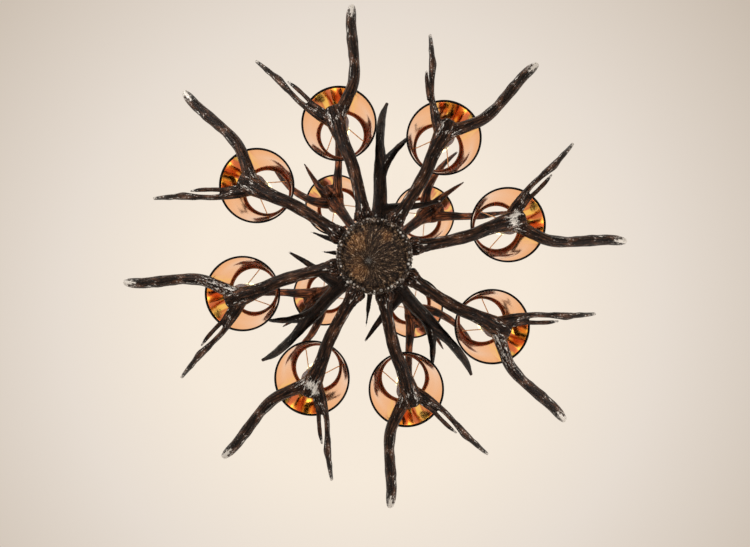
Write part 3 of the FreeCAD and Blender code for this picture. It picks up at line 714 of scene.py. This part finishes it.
def carved(name, tine_stations, seed, coronet=None, wear_and_highlight_spots=(), tips=0.9):
    """Antler mesh with grooves along every tine, pearls about the coronet, and a map of wear and painted highlight.

    Each spot paints its underside pale, partly as wear and partly as painted highlight: centre, size and how much. Past
    the share tips of a tine's length, its underside is painted pale the same way."""
    look = bpy.context.scene.chandelier_antlers
    tines = [Tine(s) for s in tine_stations]
    mesh = grown_together(name, together([t.tube() for t in tines]), look.voxel)
    corners = np.empty(len(mesh.vertices) * 3)
    mesh.vertices.foreach_get("co", corners)
    corners = corners.reshape(-1, 3) / MM
    normals = np.array([v.normal[:] for v in mesh.vertices])
    centres, along, level, rise, run = (
        np.concatenate([getattr(t, key) for t in tines]) for key in ("centres", "along", "level", "rise", "run")
    )
    sizes = np.concatenate([t.sizes.mean(1) for t in tines])
    nearest = (np.linalg.norm(corners[:, None, :] - centres[None, :, :], axis=2) - sizes[None, :]).argmin(1)
    share = np.concatenate([t.run / t.run[-1] for t in tines])[nearest]
    number = np.concatenate([np.full(len(t.run), k) for k, t in enumerate(tines)])[nearest]
    offset = corners - centres[nearest]
    u = (offset * level[nearest]).sum(1)
    v = (offset * rise[nearest]).sum(1)
    s = run[nearest] + (offset * along[nearest]).sum(1)
    radius = np.maximum(np.hypot(u, v), 1.0)
    drift = number * GRAIN_APART + seed
    moved, wear_and_highlight = np.empty_like(corners), np.zeros(len(corners))
    for k in range(len(corners)):
        cos, sin = u[k] / radius[k], v[k] / radius[k]
        groove = sum(
            deep * noise.noise(Vector((cos * close, sin * close, s[k] / size + drift[k])))
            for deep, close, size in GROOVES
        )
        lump = noise.noise(Vector(corners[k]) / LUMP_SIZE + Vector((seed, 0, 0)))
        fade = min(1.0, max(0.0, (1.0 - share[k]) * 3.0)) if number[k] else 1.0
        height = look.groove_depth / MM * 1.5 * groove * fade + LUMP_HEIGHT * lump * fade
        if coronet is not None and number[k] == 0:
            near = bell(s[k] - coronet, 10.0) + 0.3 * bell(s[k] - coronet - 18, 18.0)
            cell = noise.voronoi(Vector((u[k], v[k], s[k])) / PEARL_SIZE)[0][0]
            height += near * look.pearl_height / MM * (1.0 - 1.9 * cell)
            wear_and_highlight[k] += 0.6 * near * max(0.0, 0.85 - 1.9 * cell)
        # spots paint the undersides pale: partly wear, partly painted highlight
        for *centre, size, amount in wear_and_highlight_spots:
            wear_and_highlight[k] += amount * bell(math.dist(corners[k], centre), size) * max(0.0, 0.2 - normals[k][2])
        # the tips' undersides are painted pale: partly wear, partly painted highlight
        if number[k]:
            wear_and_highlight[k] += 0.7 * max(0.0, (share[k] - tips) / (1 - tips)) * max(0.0, 0.3 - normals[k][2])
        wear_and_highlight[k] += 0.8 * max(0.0, groove - 0.2)
        moved[k] = corners[k] + normals[k] * height
    mesh.vertices.foreach_set("co", (moved * MM).ravel())
    set_attribute(mesh, "grain", "FLOAT_VECTOR", np.stack([u, v, s + drift * 10], 1) * MM)
    set_attribute(mesh, "wear_and_highlight", "FLOAT", wear_and_highlight)
    mesh.polygons.foreach_set("use_smooth", [True] * len(mesh.polygons))
    mesh.update()
    return mesh


def add_cast(kind, number, cast, resin, angle, height, replaced=None):
    """Puts an antler's mesh in the scene at its angle about the column."""
    if replaced is None:
        replaced = [f"{kind}_{number}"]
    add_piece(
        f"{kind}_cast_{number}", cast, resin, "chandelier", replaced, at(z=height, angle=angle)
    )


class ANTLER_OT_lower(bpy.types.Operator):
    """Adds the eight forked antlers of the lower tier"""
    bl_idname = "chandelier.lower_antlers"
    bl_label = "Lower antlers"

    def execute(self, context):
        resin = antler_resin("antler resin", context.scene.chandelier_antlers.brown)
        # pale spots under the forks, partly wear and partly painted highlight, and a painted highlight along the thick
        # tine
        web = ((LOWER_OUT - 2, -3, -32, 11, 0.7), (LOWER_OUT + 10, -17, -26, 8, 0.6))
        faint = tuple(spot[:4] + (0.2,) for spot in web)
        tine_highlight = [tuple(spot) + (9, 0.7) for spot in Tine(lower_tines(False)[1]).centres[4:26:3]]
        casts = {
            kind: carved("lower antler " + kind, lower_tines(kind == "spurred"), 3.0, 31.0, wear_and_highlight_spots, 0.80)
            for kind, wear_and_highlight_spots in (("plain", faint), ("web worn and highlit", web), ("tine highlit", tine_highlight), ("spurred", faint))
        }
        for number, _, angle in LOWER_SITES:
            cast = casts[LOWER_KINDS.get(number, "plain")]
            add_cast("lower_antler", number, cast, resin, angle, LOWER_RIM_Z - CUP_DROP * MM)
        return {"FINISHED"}


class ANTLER_OT_upper(bpy.types.Operator):
    """Adds the four palmate antlers of the upper tier"""
    bl_idname = "chandelier.upper_antlers"
    bl_label = "Upper antlers"

    def execute(self, context):
        # the warm colour here is brown stain with painted warm lamplight in it
        resin = antler_resin("warm antler resin", context.scene.chandelier_antlers.warm, 0.65)
        # pale spot under the palm: partly wear, partly painted highlight
        palm = (UPPER_OUT + 8, 0, -26, 13, 0.25)
        cast = carved("upper antler", upper_tines(), 11.0, 23.0, [palm], 0.85)
        for number, _, angle in UPPER_SITES:
            add_cast("upper_antler", number, cast, resin, angle, UPPER_RIM_Z - CUP_DROP * MM)
        return {"FINISHED"}


class ANTLER_OT_spikes(bpy.types.Operator):
    """Adds the three spike antlers and the short tines of the hub"""
    bl_idname = "chandelier.spike_antlers"
    bl_label = "Spike antlers"

    def execute(self, context):
        resin = antler_resin("black antler resin", context.scene.chandelier_antlers.black, 0.66)
        cast = carved("spike antler", spike_tines(), 19.0, 29.0)
        for k, angle in enumerate(SPIKE_ANGLES):
            add_cast("spike_antler", k + 1, cast, resin, math.radians(angle), LOWER_RIM_Z)
        for k, (angle, reach) in enumerate(HUB_TINES):
            mesh = carved(f"hub tine {k + 1}", hub_tine(reach), 23.0 + k)
            replaced = ["hub_tines"] if k == 0 else ()
            add_cast("hub_tine", k + 1, mesh, resin, math.radians(angle), LOWER_RIM_Z, replaced)
        return {"FINISHED"}


# ---- burr disc ----
BURR_HEART = Vector((-10.0, 8.0))  # where the fibres meet
BURR_STAINS = ((-31.0, -25.0, 21.0), (-29.0, 25.0, 18.0), (20.0, -33.0, 10.0))  # centre and size
BURR_AROUND, BURR_ROWS = 360, 60
# rows of pearls: count, share of the radius, share of the depth, size
PEARL_ROWS = ((70, 0.985, 0.30, 2.5), (64, 0.97, 0.58, 2.9), (60, 0.915, 0.84, 2.6))
PEARL_SEED = 5  # without one, noise_vector starts from the clock


def burr_profile(share, outer, depth):
    """Radius and height of the disc at a share of the way from its hub side to its middle."""
    if share <= 0.12:
        return outer * (0.55 + 0.36 * share / 0.12), 0.0
    if share <= 0.34:
        t = (share - 0.12) / 0.22
        return outer * (0.91 + 0.07 * math.sin(math.pi * t / 2 + 0.2)), -depth * 0.72 * t
    t = (share - 0.34) / 0.66
    return outer * 0.975 * (1 - t) ** 0.9, -depth * (0.72 + 0.24 * math.sin(math.pi / 2 * min(1.0, t * 1.4)))


class ANTLER_OT_burr(bpy.types.Operator):
    """Adds the burr disc that closes the hub from below"""
    bl_idname = "chandelier.burr_disc"
    bl_label = "Burr disc"

    def execute(self, context):
        low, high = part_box("burr_disc")
        outer, top, depth = (high.x - low.x) / 2 / MM, high.z / MM, (high.z - low.z) / MM
        rings, grain, wear_and_highlight, warm = [], [], [], []
        for row in range(BURR_ROWS + 1):
            share = row / BURR_ROWS
            r, level = burr_profile(share, outer, depth)
            ring = []
            for c, s in circle(BURR_AROUND):
                x, y, z = r * c, r * s, level
                away = Vector((x, y)) - BURR_HEART * min(1.0, max(0.0, 1.15 - r / outer))
                reach, turn = away.length, math.atan2(away.y, away.x)
                rim = bell(r - outer * 0.94, outer * 0.065)
                groove = bell(r - outer * 0.835, 2.0)
                fibre = noise.noise(Vector((math.cos(turn) * 22, math.sin(turn) * 22, reach / 12)))
                inner = min(1.0, max(0.0, (outer * 0.83 - r) / 5))
                bump = rim * 1.4 * noise.noise(Vector((x, y, z)) / 4) - 2.4 * groove * (share > 0.34)
                bump += inner * (0.8 * fibre + 0.8 * noise.noise(Vector((x, y, 0)) / 9))
                middle = bell(reach, 8.0)
                bump -= middle * 3.0 * noise.noise(Vector((x, y, 3)) / 3.4)
                if share > 0.16:
                    z -= bump
                ring.append((x, y, top + z))
                grain.append((math.cos(turn), math.sin(turn), reach / 40))
                wear_and_highlight.append(0.15 * rim + 0.5 * middle - 0.6 * groove)
                blots = sum(bell(Vector((x - i, y - j)).length, size) for i, j, size in BURR_STAINS)
                warm.append(inner * blots * 0.8 + 0.35 * noise.noise(Vector((x, y, 9)) / 9) - 0.6 * middle)
            rings.append(ring)
        corners, faces = skin(rings)
        shapes = [(corners, [face[::-1] for face in faces])]
        noise.seed_set(PEARL_SEED)
        bend = [math.pi * (n + 0.1) / 6.2 for n in range(7)]
        for row, (count, r, z, size) in enumerate(PEARL_ROWS):
            for k in range(count):
                jitter = noise.noise_vector(Vector((k * 7.3, row * 5.1, 2.3)))
                a = math.tau * (k + 0.4 * jitter.x) / count
                bead = size * (1 + 0.5 * jitter.y)
                height = top - depth * z + 1.5 * jitter.z
                round_bead = revolved([(bead * math.sin(b), -bead * math.cos(b)) for b in bend], 12)
                pearl = shifted(round_bead, at(outer * r * math.cos(a), outer * r * math.sin(a), height))
                shapes.append(pearl)
                for corner in pearl[0]:
                    grain.append((math.cos(a), math.sin(a), corner[2] / 14 + row))
                    wear_and_highlight.append((0.45 + 0.6 * jitter.x) * max(0.0, (height - corner[2]) / bead))
                    warm.append(0.0)
        mesh = mesh_of("burr disc", *together(shapes), 70)
        set_attribute(mesh, "grain", "FLOAT_VECTOR", grain)
        set_attribute(mesh, "wear_and_highlight", "FLOAT", wear_and_highlight)
        set_attribute(mesh, "warm", "FLOAT", warm)
        add_piece("burr_disc_carved", mesh, burr_fibre(), "chandelier", ["burr_disc"])
        return {"FINISHED"}


# ---- shades ----
SHADE_BOTTOM_R = 70.0
SHADE_TOP_R = 49.5
SHADE_HEIGHT = 115.0
SHADE_WALL = 1.5
THREAD = 0.9  # from one thread of the cloth to the next
SEAM_FLATS, SEAM_LAP = 3, 0.7
SPIDER_ARMS = 3
FITTER_RING = (11.0, 17.0, 30.3, 32.3)  # inner and outer radius, bottom and top


def wall_r(height):
    return SHADE_BOTTOM_R + (SHADE_TOP_R - SHADE_BOTTOM_R) * height / SHADE_HEIGHT


def cloth_wall(sides, rows=12):
    """Outer wall with a lapped seam, and its weave's coordinates in threads."""
    corners, faces, weave = [], [], []
    for row in range(rows + 1):
        z = 0.6 + (SHADE_HEIGHT - 1.2) * row / rows
        for k in range(sides + 1):
            a = math.tau * k / sides
            r = wall_r(z) + 0.05 + (SEAM_LAP if k >= sides - SEAM_FLATS else 0.0)
            corners.append((r * math.cos(a), r * math.sin(a), z))
            weave.append((SHADE_BOTTOM_R * a / THREAD, z / THREAD, 0.0))
    for row in range(rows):
        for k in range(sides):
            first = row * (sides + 1) + k
            faces.append((first, first + 1, first + sides + 2, first + sides + 1))
    return corners, faces, weave


def binding(height, top, width, sides):
    """Tape folded over a rim."""
    sign = -1 if top else 1
    middle, half = wall_r(height) - SHADE_WALL / 2, SHADE_WALL / 2 + 1.0
    lean = (SHADE_TOP_R - SHADE_BOTTOM_R) / SHADE_HEIGHT * sign * width
    edge = height - sign * 0.7
    lip = edge + sign * width
    profile = rounded([
        (middle, edge), (middle - half, edge), (middle - half + lean, lip), (middle + half + lean, lip),
        (middle + half, edge), (middle, edge),
    ], 0.9)[:-1]
    return revolved(profile if top else profile[::-1], sides, closed=True)


def top_ring(sides):
    """Flat ring, rolled at its inner edge, that holds the top open."""
    outer, inner, top = SHADE_TOP_R - SHADE_WALL - 0.4, SHADE_TOP_R - 5.5, SHADE_HEIGHT - 0.6
    profile = rounded([
        (outer, top - 0.8), (outer + 0.3, top - 1.6), (inner + 1.6, top - 2.2), (inner, top - 1.2),
        (inner + 0.6, top), (outer, top), (outer, top - 0.8),
    ], 0.7)[:-1]
    return revolved(profile, sides, closed=True)


def spider(wire_r):
    """Fitter ring, and the bent wires from it up to the top rim."""
    inner, outer, bottom, top = FITTER_RING
    middle, level = (inner + outer) / 2, (bottom + top) / 2
    profile = rounded([
        (middle, bottom), (outer, bottom), (outer, top), (inner, top), (inner, bottom), (middle, bottom),
    ], 0.5)[:-1]
    reach, high = SHADE_TOP_R - 4.5, SHADE_HEIGHT - 4.0
    path = rounded([
        (outer - 3.0, level), (outer + 1.5, level), (reach - 3.0, high - 5.0), (reach, high), (reach, high + 1.5),
    ], 4.0, 5)
    arm = swept([(r, 0.0, z) for r, z in path], wire_r, 10)
    arms = [shifted(arm, at(angle=math.tau * k / SPIDER_ARMS)) for k in range(SPIDER_ARMS)]
    return together([revolved(profile, closed=True), *arms])


class SHADE_OT_shades(bpy.types.Operator):
    """Adds the twelve tapered shades with their linings, bindings and spiders"""
    bl_idname = "chandelier.shades"
    bl_label = "Shades"

    def execute(self, context):
        look = context.scene.chandelier_shades
        sides, width = look.sides, look.binding / MM
        cloth = black_cloth()
        brass = metal("brass wire", look.brass, scaled(look.brass, 0.75), 0.1, 0.25, 0.4)
        corners, faces, weave = cloth_wall(sides)
        wall = mesh_of("shade cloth", corners, faces)
        set_attribute(wall, "weave", "FLOAT_VECTOR", weave)
        low, high = 0.4, SHADE_HEIGHT - 0.4
        section = ((low, 0.4), (high, 0.4), (high, 0.0), (low, 0.0))
        foil = [(wall_r(z) - SHADE_WALL + thick, z) for z, thick in section]
        tapes = mesh_of("shade bindings", *together([
            binding(0.0, False, width, sides), binding(SHADE_HEIGHT, True, width * 0.8, sides),
        ]))
        set_attribute(tapes, "weave", "FLOAT_VECTOR", [tuple(c / MM / THREAD for c in v.co) for v in tapes.vertices])
        kinds = (
            ("cloth", wall, cloth, "shade_fabric"),
            ("lining", mesh_of("shade lining", *revolved(foil, sides, closed=True)), gold_foil(), "gold_foil"),
            ("binding", tapes, cloth, "shade_fabric"),
            ("top_ring", mesh_of("shade top ring", *top_ring(sides)), top_ring_painted_reflection(), "shade_fabric"),
            ("spider", mesh_of("shade spider", *spider(look.wire / MM / 2)), brass, "fitter_wire"),
        )
        for tier, sites in TIERS:
            for number, centre, angle in sites:
                node = f"{tier}_shade_{number}"
                for kind, mesh, material, slot in kinds:
                    replaced = [node] if kind == "cloth" else ()
                    add_piece(f"{node}_{kind}", mesh, material, node, replaced, at(*centre, angle))
        return {"FINISHED"}


# ---- lamps, in millimetres from the shades' bottom rims ----
SLEEVE_R, NECK_R, SOCKET_R = 12.0, 10.4, 7.1
SHOULDER, MOUTH = 30.0, 40.0  # where the shade sits, and where the socket opens
SOCKET_DEPTH = 20.0
CUP_FLOOR = 5.0


def drip_cup():
    """Turned cup with a beaded foot and a rolled lip, its foot on the antler's post."""
    return revolved(rounded(raised([
        (0.01, 0.0), (12.0, 0.0), (12.4, 1.6), (10.6, 2.6), (12.6, CUP_FLOOR), (17.0, 11.0), (19.0, 13.8),
        (19.0, 15.0), (17.4, 15.0), (12.8, 5.4), (0.01, CUP_FLOOR),
    ], -CUP_DROP), 1.2))


def lampholder():
    """Candle sleeve, its shoulder, the threaded neck and the socket's mouth."""
    foot, depth = CUP_FLOOR - CUP_DROP, MOUTH - SOCKET_DEPTH
    profile = [(0.01, foot), (SLEEVE_R, foot), (SLEEVE_R, SHOULDER), (NECK_R, SHOULDER)]
    for turn in range(5):
        z = SHOULDER + 0.6 + 1.9 * turn
        profile += [(NECK_R, z), (NECK_R - 0.5, z + 0.95)]
    profile += [(NECK_R, MOUTH), (SOCKET_R, MOUTH), (SOCKET_R, depth), (0.01, depth)]
    return revolved(rounded(profile, 0.5, 2))


def shade_ring():
    """Ring with a knurled edge that holds the shade down on the shoulder."""
    bottom, top = 32.6, 37.1
    rings = []
    for r, z, knurl in (
        (10.6, bottom, 0.0), (12.6, bottom, 0.45), (13.0, bottom + 0.6, 0.45), (13.0, top - 0.6, 0.45),
        (12.6, top, 0.45), (10.6, top, 0.0),
    ):
        rings.append([((r - knurl * (k % 2)) * c, (r - knurl * (k % 2)) * s, z) for k, (c, s) in enumerate(circle(48))])
    return skin(rings, closed=True)


def candle_bulb():
    """Flame-shaped bulb with its cap in the socket."""
    return revolved(rounded(raised([
        (6.9, -SOCKET_DEPTH), (6.9, 1.0), (8.8, 3.0), (12.5, 8.0), (16.2, 15.0), (17.5, 22.5), (16.6, 31.0),
        (13.4, 41.0), (8.8, 51.0), (4.6, 59.0), (2.2, 64.0), (0.8, 66.0),
    ], MOUTH), 3.0), 32)


class LAMP_OT_lamps(bpy.types.Operator):
    """Adds the drip cups, lampholders, shade rings and bulbs of both tiers"""
    bl_idname = "chandelier.lamps"
    bl_label = "Lamps"

    def execute(self, context):
        cup = context.scene.chandelier_lamps.cup
        kinds = (
            ("drip_cups", drip_cup(), metal("cup metal", cup, scaled(cup, 1.5), 0.35, 0.3, 0.5), "bronze_metal", 40),
            ("lampholders", lampholder(), candle_sleeve(), "candle_sleeve", 40),
            ("shade_nuts", shade_ring(), plastic(), "black_plastic", 30),
            ("bulbs", candle_bulb(), lit_glass(), "bulb_glass", 50),
        )
        for tier, sites in TIERS:
            places = [at(*(c / MM for c in centre), angle) for _, centre, angle in sites]
            for kind, shape, material, slot, sharp in kinds:
                copies = together([shifted(shape, place) for place in places])
                add_fitting(f"{tier}_{kind}", "turned", copies, "chandelier", material, sharp)
        return {"FINISHED"}


# ---- column, hubs, chain and canopy ----
COLUMN_R, COLUMN_BORE_R = 9.0, 6.5
WIRE_R = 3.0
LINK_R, LOOP_R = 8.0, 14.0
COLLAR_R, COLLAR_HEIGHT = 11.0, 13.0
NIPPLE_R = 5.0
NUT_R, NUT_HEIGHT = 17.0, 8.0
SCREWS_OUT, BUSH_OUT = 32.0, 24.0  # from the column's axis


def pairs(turns):
    """Each of these rising directions with the next one around."""
    return list(zip(turns, turns[1:] + [turns[0] + math.tau]))


def prism(flat_r, turns, bottom, top, edge):
    """Block about the column with softened edges and a flat square to each of these rising directions."""
    crests = [(flat_r / math.cos((b - a) / 2), (a + b) / 2) for a, b in pairs(turns)]
    rings = []
    for inset, z in ((None, bottom), (edge, bottom), (0.0, bottom + edge), (0.0, top - edge), (edge, top), (None, top)):
        radii = [COLUMN_R if inset is None else crest - inset for crest, _ in crests]
        rings.append([(r * math.cos(turn), r * math.sin(turn), z) for r, (_, turn) in zip(radii, crests)])
    return skin(rings, closed=True)


class METAL_OT_core(bpy.types.Operator):
    """Adds the column, its nuts and the three hubs"""
    bl_idname = "chandelier.core"
    bl_label = "Column and hubs"

    def execute(self, context):
        bottom, top = between("column")
        tube = rounded([(COLUMN_BORE_R, bottom), (COLUMN_R, bottom), (COLUMN_R, top), (COLUMN_BORE_R, top)], 0.6)
        add_fitting("column", "tube", revolved(tube, 40, closed=True))
        lower_flats, upper_turns = (sorted(angle for _, _, angle in sites) for _, sites in TIERS)
        add_fitting("lower_hub", "block", prism(LOWER_HUB_FLAT, lower_flats, *between("lower_hub"), 3.0), sharp=30)
        bottom, spike_top = between("spike_hub")
        drum = rounded([
            (COLUMN_R, bottom), (SPIKE_HUB_R, bottom), (SPIKE_HUB_R, spike_top - 8.0), (SPIKE_HUB_R - 8.0, spike_top),
            (COLUMN_R, spike_top),
        ], 4.0, 4)
        add_fitting("spike_hub", "drum", revolved(drum, 64, closed=True))
        upper_flats = [turn for a, b in pairs(upper_turns) for turn in (a, (a + b) / 2)]
        bottom, top = between("upper_hub")
        add_fitting("upper_hub", "block", prism(UPPER_HUB_FLAT, upper_flats, bottom, top, 3.0), sharp=30)
        hexagon = [math.pi * k / 3 for k in range(6)]
        nuts = [prism(NUT_R, hexagon, z, z + NUT_HEIGHT, 1.0) for z in (spike_top, bottom - NUT_HEIGHT, top)]
        add_fitting("column_nuts", "hex", together(nuts), material=zinc(), sharp=30)
        return {"FINISHED"}


def loop_path(centre_z, half_height, end_r, in_xz, steps=10):
    """Path of a wire in the XZ or YZ plane: two half circles joined by straight runs."""
    straight = half_height - end_r
    points = []
    for half, middle in enumerate((centre_z + straight, centre_z - straight)):
        for k in range(steps + 1):
            a = math.pi * (half + k / steps)
            points.append((end_r * math.cos(a), middle + end_r * math.sin(a)))
    return [(x, 0.0, z) if in_xz else (0.0, x, z) for x, z in points]


def loop(top, stem, in_xz):
    """Ring of wire and the turned stem that it grows from."""
    path = loop_path(top - LOOP_R, LOOP_R, LOOP_R, in_xz, 16)[:-1]
    return together([revolved(rounded(stem, 1.5), 40), swept(path, WIRE_R, 16, closed=True)])


class METAL_OT_chain(bpy.types.Operator):
    """Adds the chain's links and the loops at its two ends"""
    bl_idname = "chandelier.chain"
    bl_label = "Chain and loops"

    def execute(self, context):
        for number in range(1, 5):
            node = f"chain_link_{number}"
            bottom, top = between(node)
            path = loop_path((bottom + top) / 2, (top - bottom) / 2 - WIRE_R, LINK_R, number % 2 == 0)
            add_fitting(node, "wire", swept(path, WIRE_R, 16, closed=True), f"link_{number}")
        thread_top, loop_top = between("canopy_loop")[1], between("canopy")[0] - COLLAR_HEIGHT
        stem = raised([
            (0.01, -1.0), (COLLAR_R - 2.5, -1.0), (COLLAR_R, 2.0), (COLLAR_R, 10.0), (COLLAR_R - 1.5, COLLAR_HEIGHT),
            (NIPPLE_R, COLLAR_HEIGHT),
        ], loop_top) + [(NIPPLE_R, thread_top), (0.01, thread_top)]
        add_fitting("canopy_loop", "turned", loop(loop_top, stem, True), "ceiling_mount")
        loop_top = between("top_loop")[1] - WIRE_R
        stem = raised([
            (0.01, -COLLAR_HEIGHT), (COLLAR_R, -COLLAR_HEIGHT), (COLLAR_R, -3.0), (COLLAR_R - 2.5, 1.0), (0.01, 1.0),
        ], loop_top - 2 * LOOP_R)
        add_fitting("top_loop", "turned", loop(loop_top, stem, False))
        return {"FINISHED"}


class METAL_OT_canopy(bpy.types.Operator):
    """Adds the canopy, its screws and the lead's bush, and puts zinc plate on the ceiling bracket and the nipple's nut
    """
    bl_idname = "chandelier.canopy"
    bl_label = "Canopy"

    def execute(self, context):
        floor = between("canopy")[0]
        dish = rounded([
            (5.1, floor), (38.0, floor), (49.0, floor + 1.2), (54.0, floor + 12.0), (61.0, -3.0), (62.0, 0.0),
            (60.5, 0.0), (52.6, floor + 12.6), (47.8, floor + 2.7), (5.1, floor + 1.5),
        ], 3.5, 4)
        add_fitting("canopy", "dish", revolved(dish, 96, closed=True), "ceiling_mount")
        screw = raised([
            (0.01, -7.0), (1.6, -6.8), (3.6, -5.4), (4.5, -3.0), (4.5, -0.8), (5.2, 0.0), (2.0, 0.0),
        ], floor) + [(2.0, -3.0), (0.01, -3.0)]
        screws = [shifted(revolved(rounded(screw, 0.6), 28), at(x)) for x in (-SCREWS_OUT, SCREWS_OUT)]
        add_fitting("canopy_screws", "turned", together(screws), "ceiling_mount")
        bush = raised([(3.0, -2.0), (7.4, -2.0), (8.0, 0.0), (6.0, 0.0), (6.0, 1.5), (3.0, 1.5)], floor)
        moulded = shifted(revolved(rounded(bush, 0.5), 32, closed=True), at(0, BUSH_OUT))
        add_fitting("lead_bush", "moulded", moulded, "ceiling_mount", plastic())
        for node in ("ceiling_bracket", "nipple_nut"):
            materials = frame["nodes"][node].data.materials
            materials.clear()
            materials.append(zinc())
        return {"FINISHED"}


# ---- stage, in metres ----
ROOM_REACH = 80.0  # from the middle of the ceiling and the floor to their sides
CEILING_AT = (-0.04, 0.16, 0.0006)
FLOOR_AT = (0.0, 0.0, -4.2)
PHOTO_WIDTH = 750  # pixels


def room_surface(name, radius, *stops):
    """Pale surface that shows from below only and neither lights nor shades the object."""
    room = Finish(name)
    away = room.add("VectorMath", {0: room.here()}, operation="LENGTH").outputs["Value"]
    tone = room.ramp(room.spread(away, 0.0, 1.0, 0.0, radius), *stops)
    paint = room.add("Emission", {"Color": tone}).outputs["Emission"]
    clear = room.add("BsdfTransparent").outputs["BSDF"]
    front = room.math("SUBTRACT", 1.0, room.add("NewGeometry").outputs["Backfacing"])
    shown = room.math("MULTIPLY", room.seen(), front)
    return room.close(room.add("MixShader", {"Fac": shown, 1: clear, 2: paint}).outputs[0])


def add_plane(name, face, place, material):
    """Puts one side of the room on the stage."""
    mesh = bpy.data.meshes.new(name)
    square = [(x * ROOM_REACH, y * ROOM_REACH, 0) for x, y in ((-1, -1), (1, -1), (1, 1), (-1, 1))]
    mesh.from_pydata(square, [], [face])
    mesh.materials.append(material)
    plane = linked(name, mesh)
    plane.location = place


def light_panel(name, place, target, size, power, tint=(1.0, 1.0, 1.0)):
    lamp = bpy.data.lights.new(name, "AREA")
    lamp.shape, lamp.size, lamp.energy, lamp.color = "DISK", size, power, tint
    panel = linked(name, lamp)
    panel.location = place
    panel.rotation_euler = (Vector(target) - Vector(place)).to_track_quat("-Z", "Y").to_euler()


class STAGE_OT_stage(bpy.types.Operator):
    """Adds the room, the light and the camera under the chandelier"""
    bl_idname = "chandelier.stage"
    bl_label = "Stage"

    def execute(self, context):
        look = context.scene.chandelier_stage
        context.scene.view_settings.view_transform = "Standard"
        # the ceiling is painted brighter in its middle, a painted pool of the bulbs' light, with a darker ring beyond
        paint = room_surface(
            "ceiling paint", 12.0,
            (0.0, look.pale), (0.04, look.pale), (0.07, look.edge), (0.125, look.far), (0.5, look.edge),
        )
        add_plane("ceiling", (3, 2, 1, 0), CEILING_AT, paint)
        boards = Finish("floor paint")
        tone = boards.ramp(boards.noise(boards.here(), 3.0), (0.3, (0.70, 0.66, 0.61)), (0.7, (0.74, 0.70, 0.65)))
        add_plane("floor", (0, 1, 2, 3), FLOOR_AT, boards.surface(Base_Color=tone, Roughness=0.9))

        room = Finish("room", "worlds", "OutputWorld")
        lit = room.add("Background", {"Color": (1.0, 0.97, 0.93), "Strength": look.light}).outputs[0]
        shown = room.add("Background", {"Color": look.edge}).outputs[0]
        context.scene.world = room.close(room.add("MixShader", {"Fac": room.seen(), 1: lit, 2: shown}).outputs[0])

        middle = (0.0, 0.0, LOWER_RIM_Z)
        light_panel("window", (-1.7, -1.5, -1.5), middle, 1.4, 26.0, (1.0, 0.99, 0.97))
        light_panel("fill", (2.0, 1.0, -1.2), middle, 1.6, 14.0, (1.0, 0.96, 0.92))
        light_panel("above", (0.6, -1.6, 1.0), middle, 1.4, 16.0)

        camera = bpy.data.cameras.new("camera")
        camera.lens = look.lens
        camera.shift_x, camera.shift_y = 0.5 / PHOTO_WIDTH, -17.5 / PHOTO_WIDTH  # from its centre to the axis
        seat = linked("camera", camera)
        seat.location = (0.0, 0.0, LOWER_RIM_Z - look.below)
        seat.rotation_euler = (math.pi, 0.0, 0.0)
        context.scene.camera = seat
        return {"FINISHED"}


OPERATORS = (
    METAL_OT_canopy, METAL_OT_chain, METAL_OT_core, ANTLER_OT_lower, ANTLER_OT_upper, ANTLER_OT_spikes,
    ANTLER_OT_burr, LAMP_OT_lamps, SHADE_OT_shades, STAGE_OT_stage,
)


class VIEW3D_PT_chandelier(bpy.types.Panel):
    """Lists the chandelier's pieces"""
    bl_label = "Antler Chandelier"
    bl_idname = "VIEW3D_PT_chandelier"
    bl_space_type = "VIEW_3D"
    bl_region_type = "UI"
    bl_category = "Chandelier"

    def draw(self, context):
        for operator in OPERATORS:
            self.layout.operator(operator.bl_idname)
        for key, group in SETTINGS.items():
            box = self.layout.box()
            box.label(text=group.__doc__)
            for prop in group.__annotations__:
                box.prop(getattr(context.scene, key), prop)


def register():
    for group in SETTINGS.values():
        bpy.utils.register_class(group)
    for operator in OPERATORS:
        bpy.utils.register_class(operator)
    bpy.utils.register_class(VIEW3D_PT_chandelier)
    for key, group in SETTINGS.items():
        setattr(bpy.types.Scene, key, PointerProperty(type=group))


def unregister():
    for key in SETTINGS:
        delattr(bpy.types.Scene, key)
    bpy.utils.unregister_class(VIEW3D_PT_chandelier)
    for operator in reversed(OPERATORS):
        bpy.utils.unregister_class(operator)
    for group in reversed(list(SETTINGS.values())):
        bpy.utils.unregister_class(group)


def main():
    register()
    for operator in OPERATORS:
        getattr(bpy.ops.chandelier, operator.bl_idname.split(".")[1])()
    bpy.context.view_layer.update()


if __name__ == "__main__":
    main()
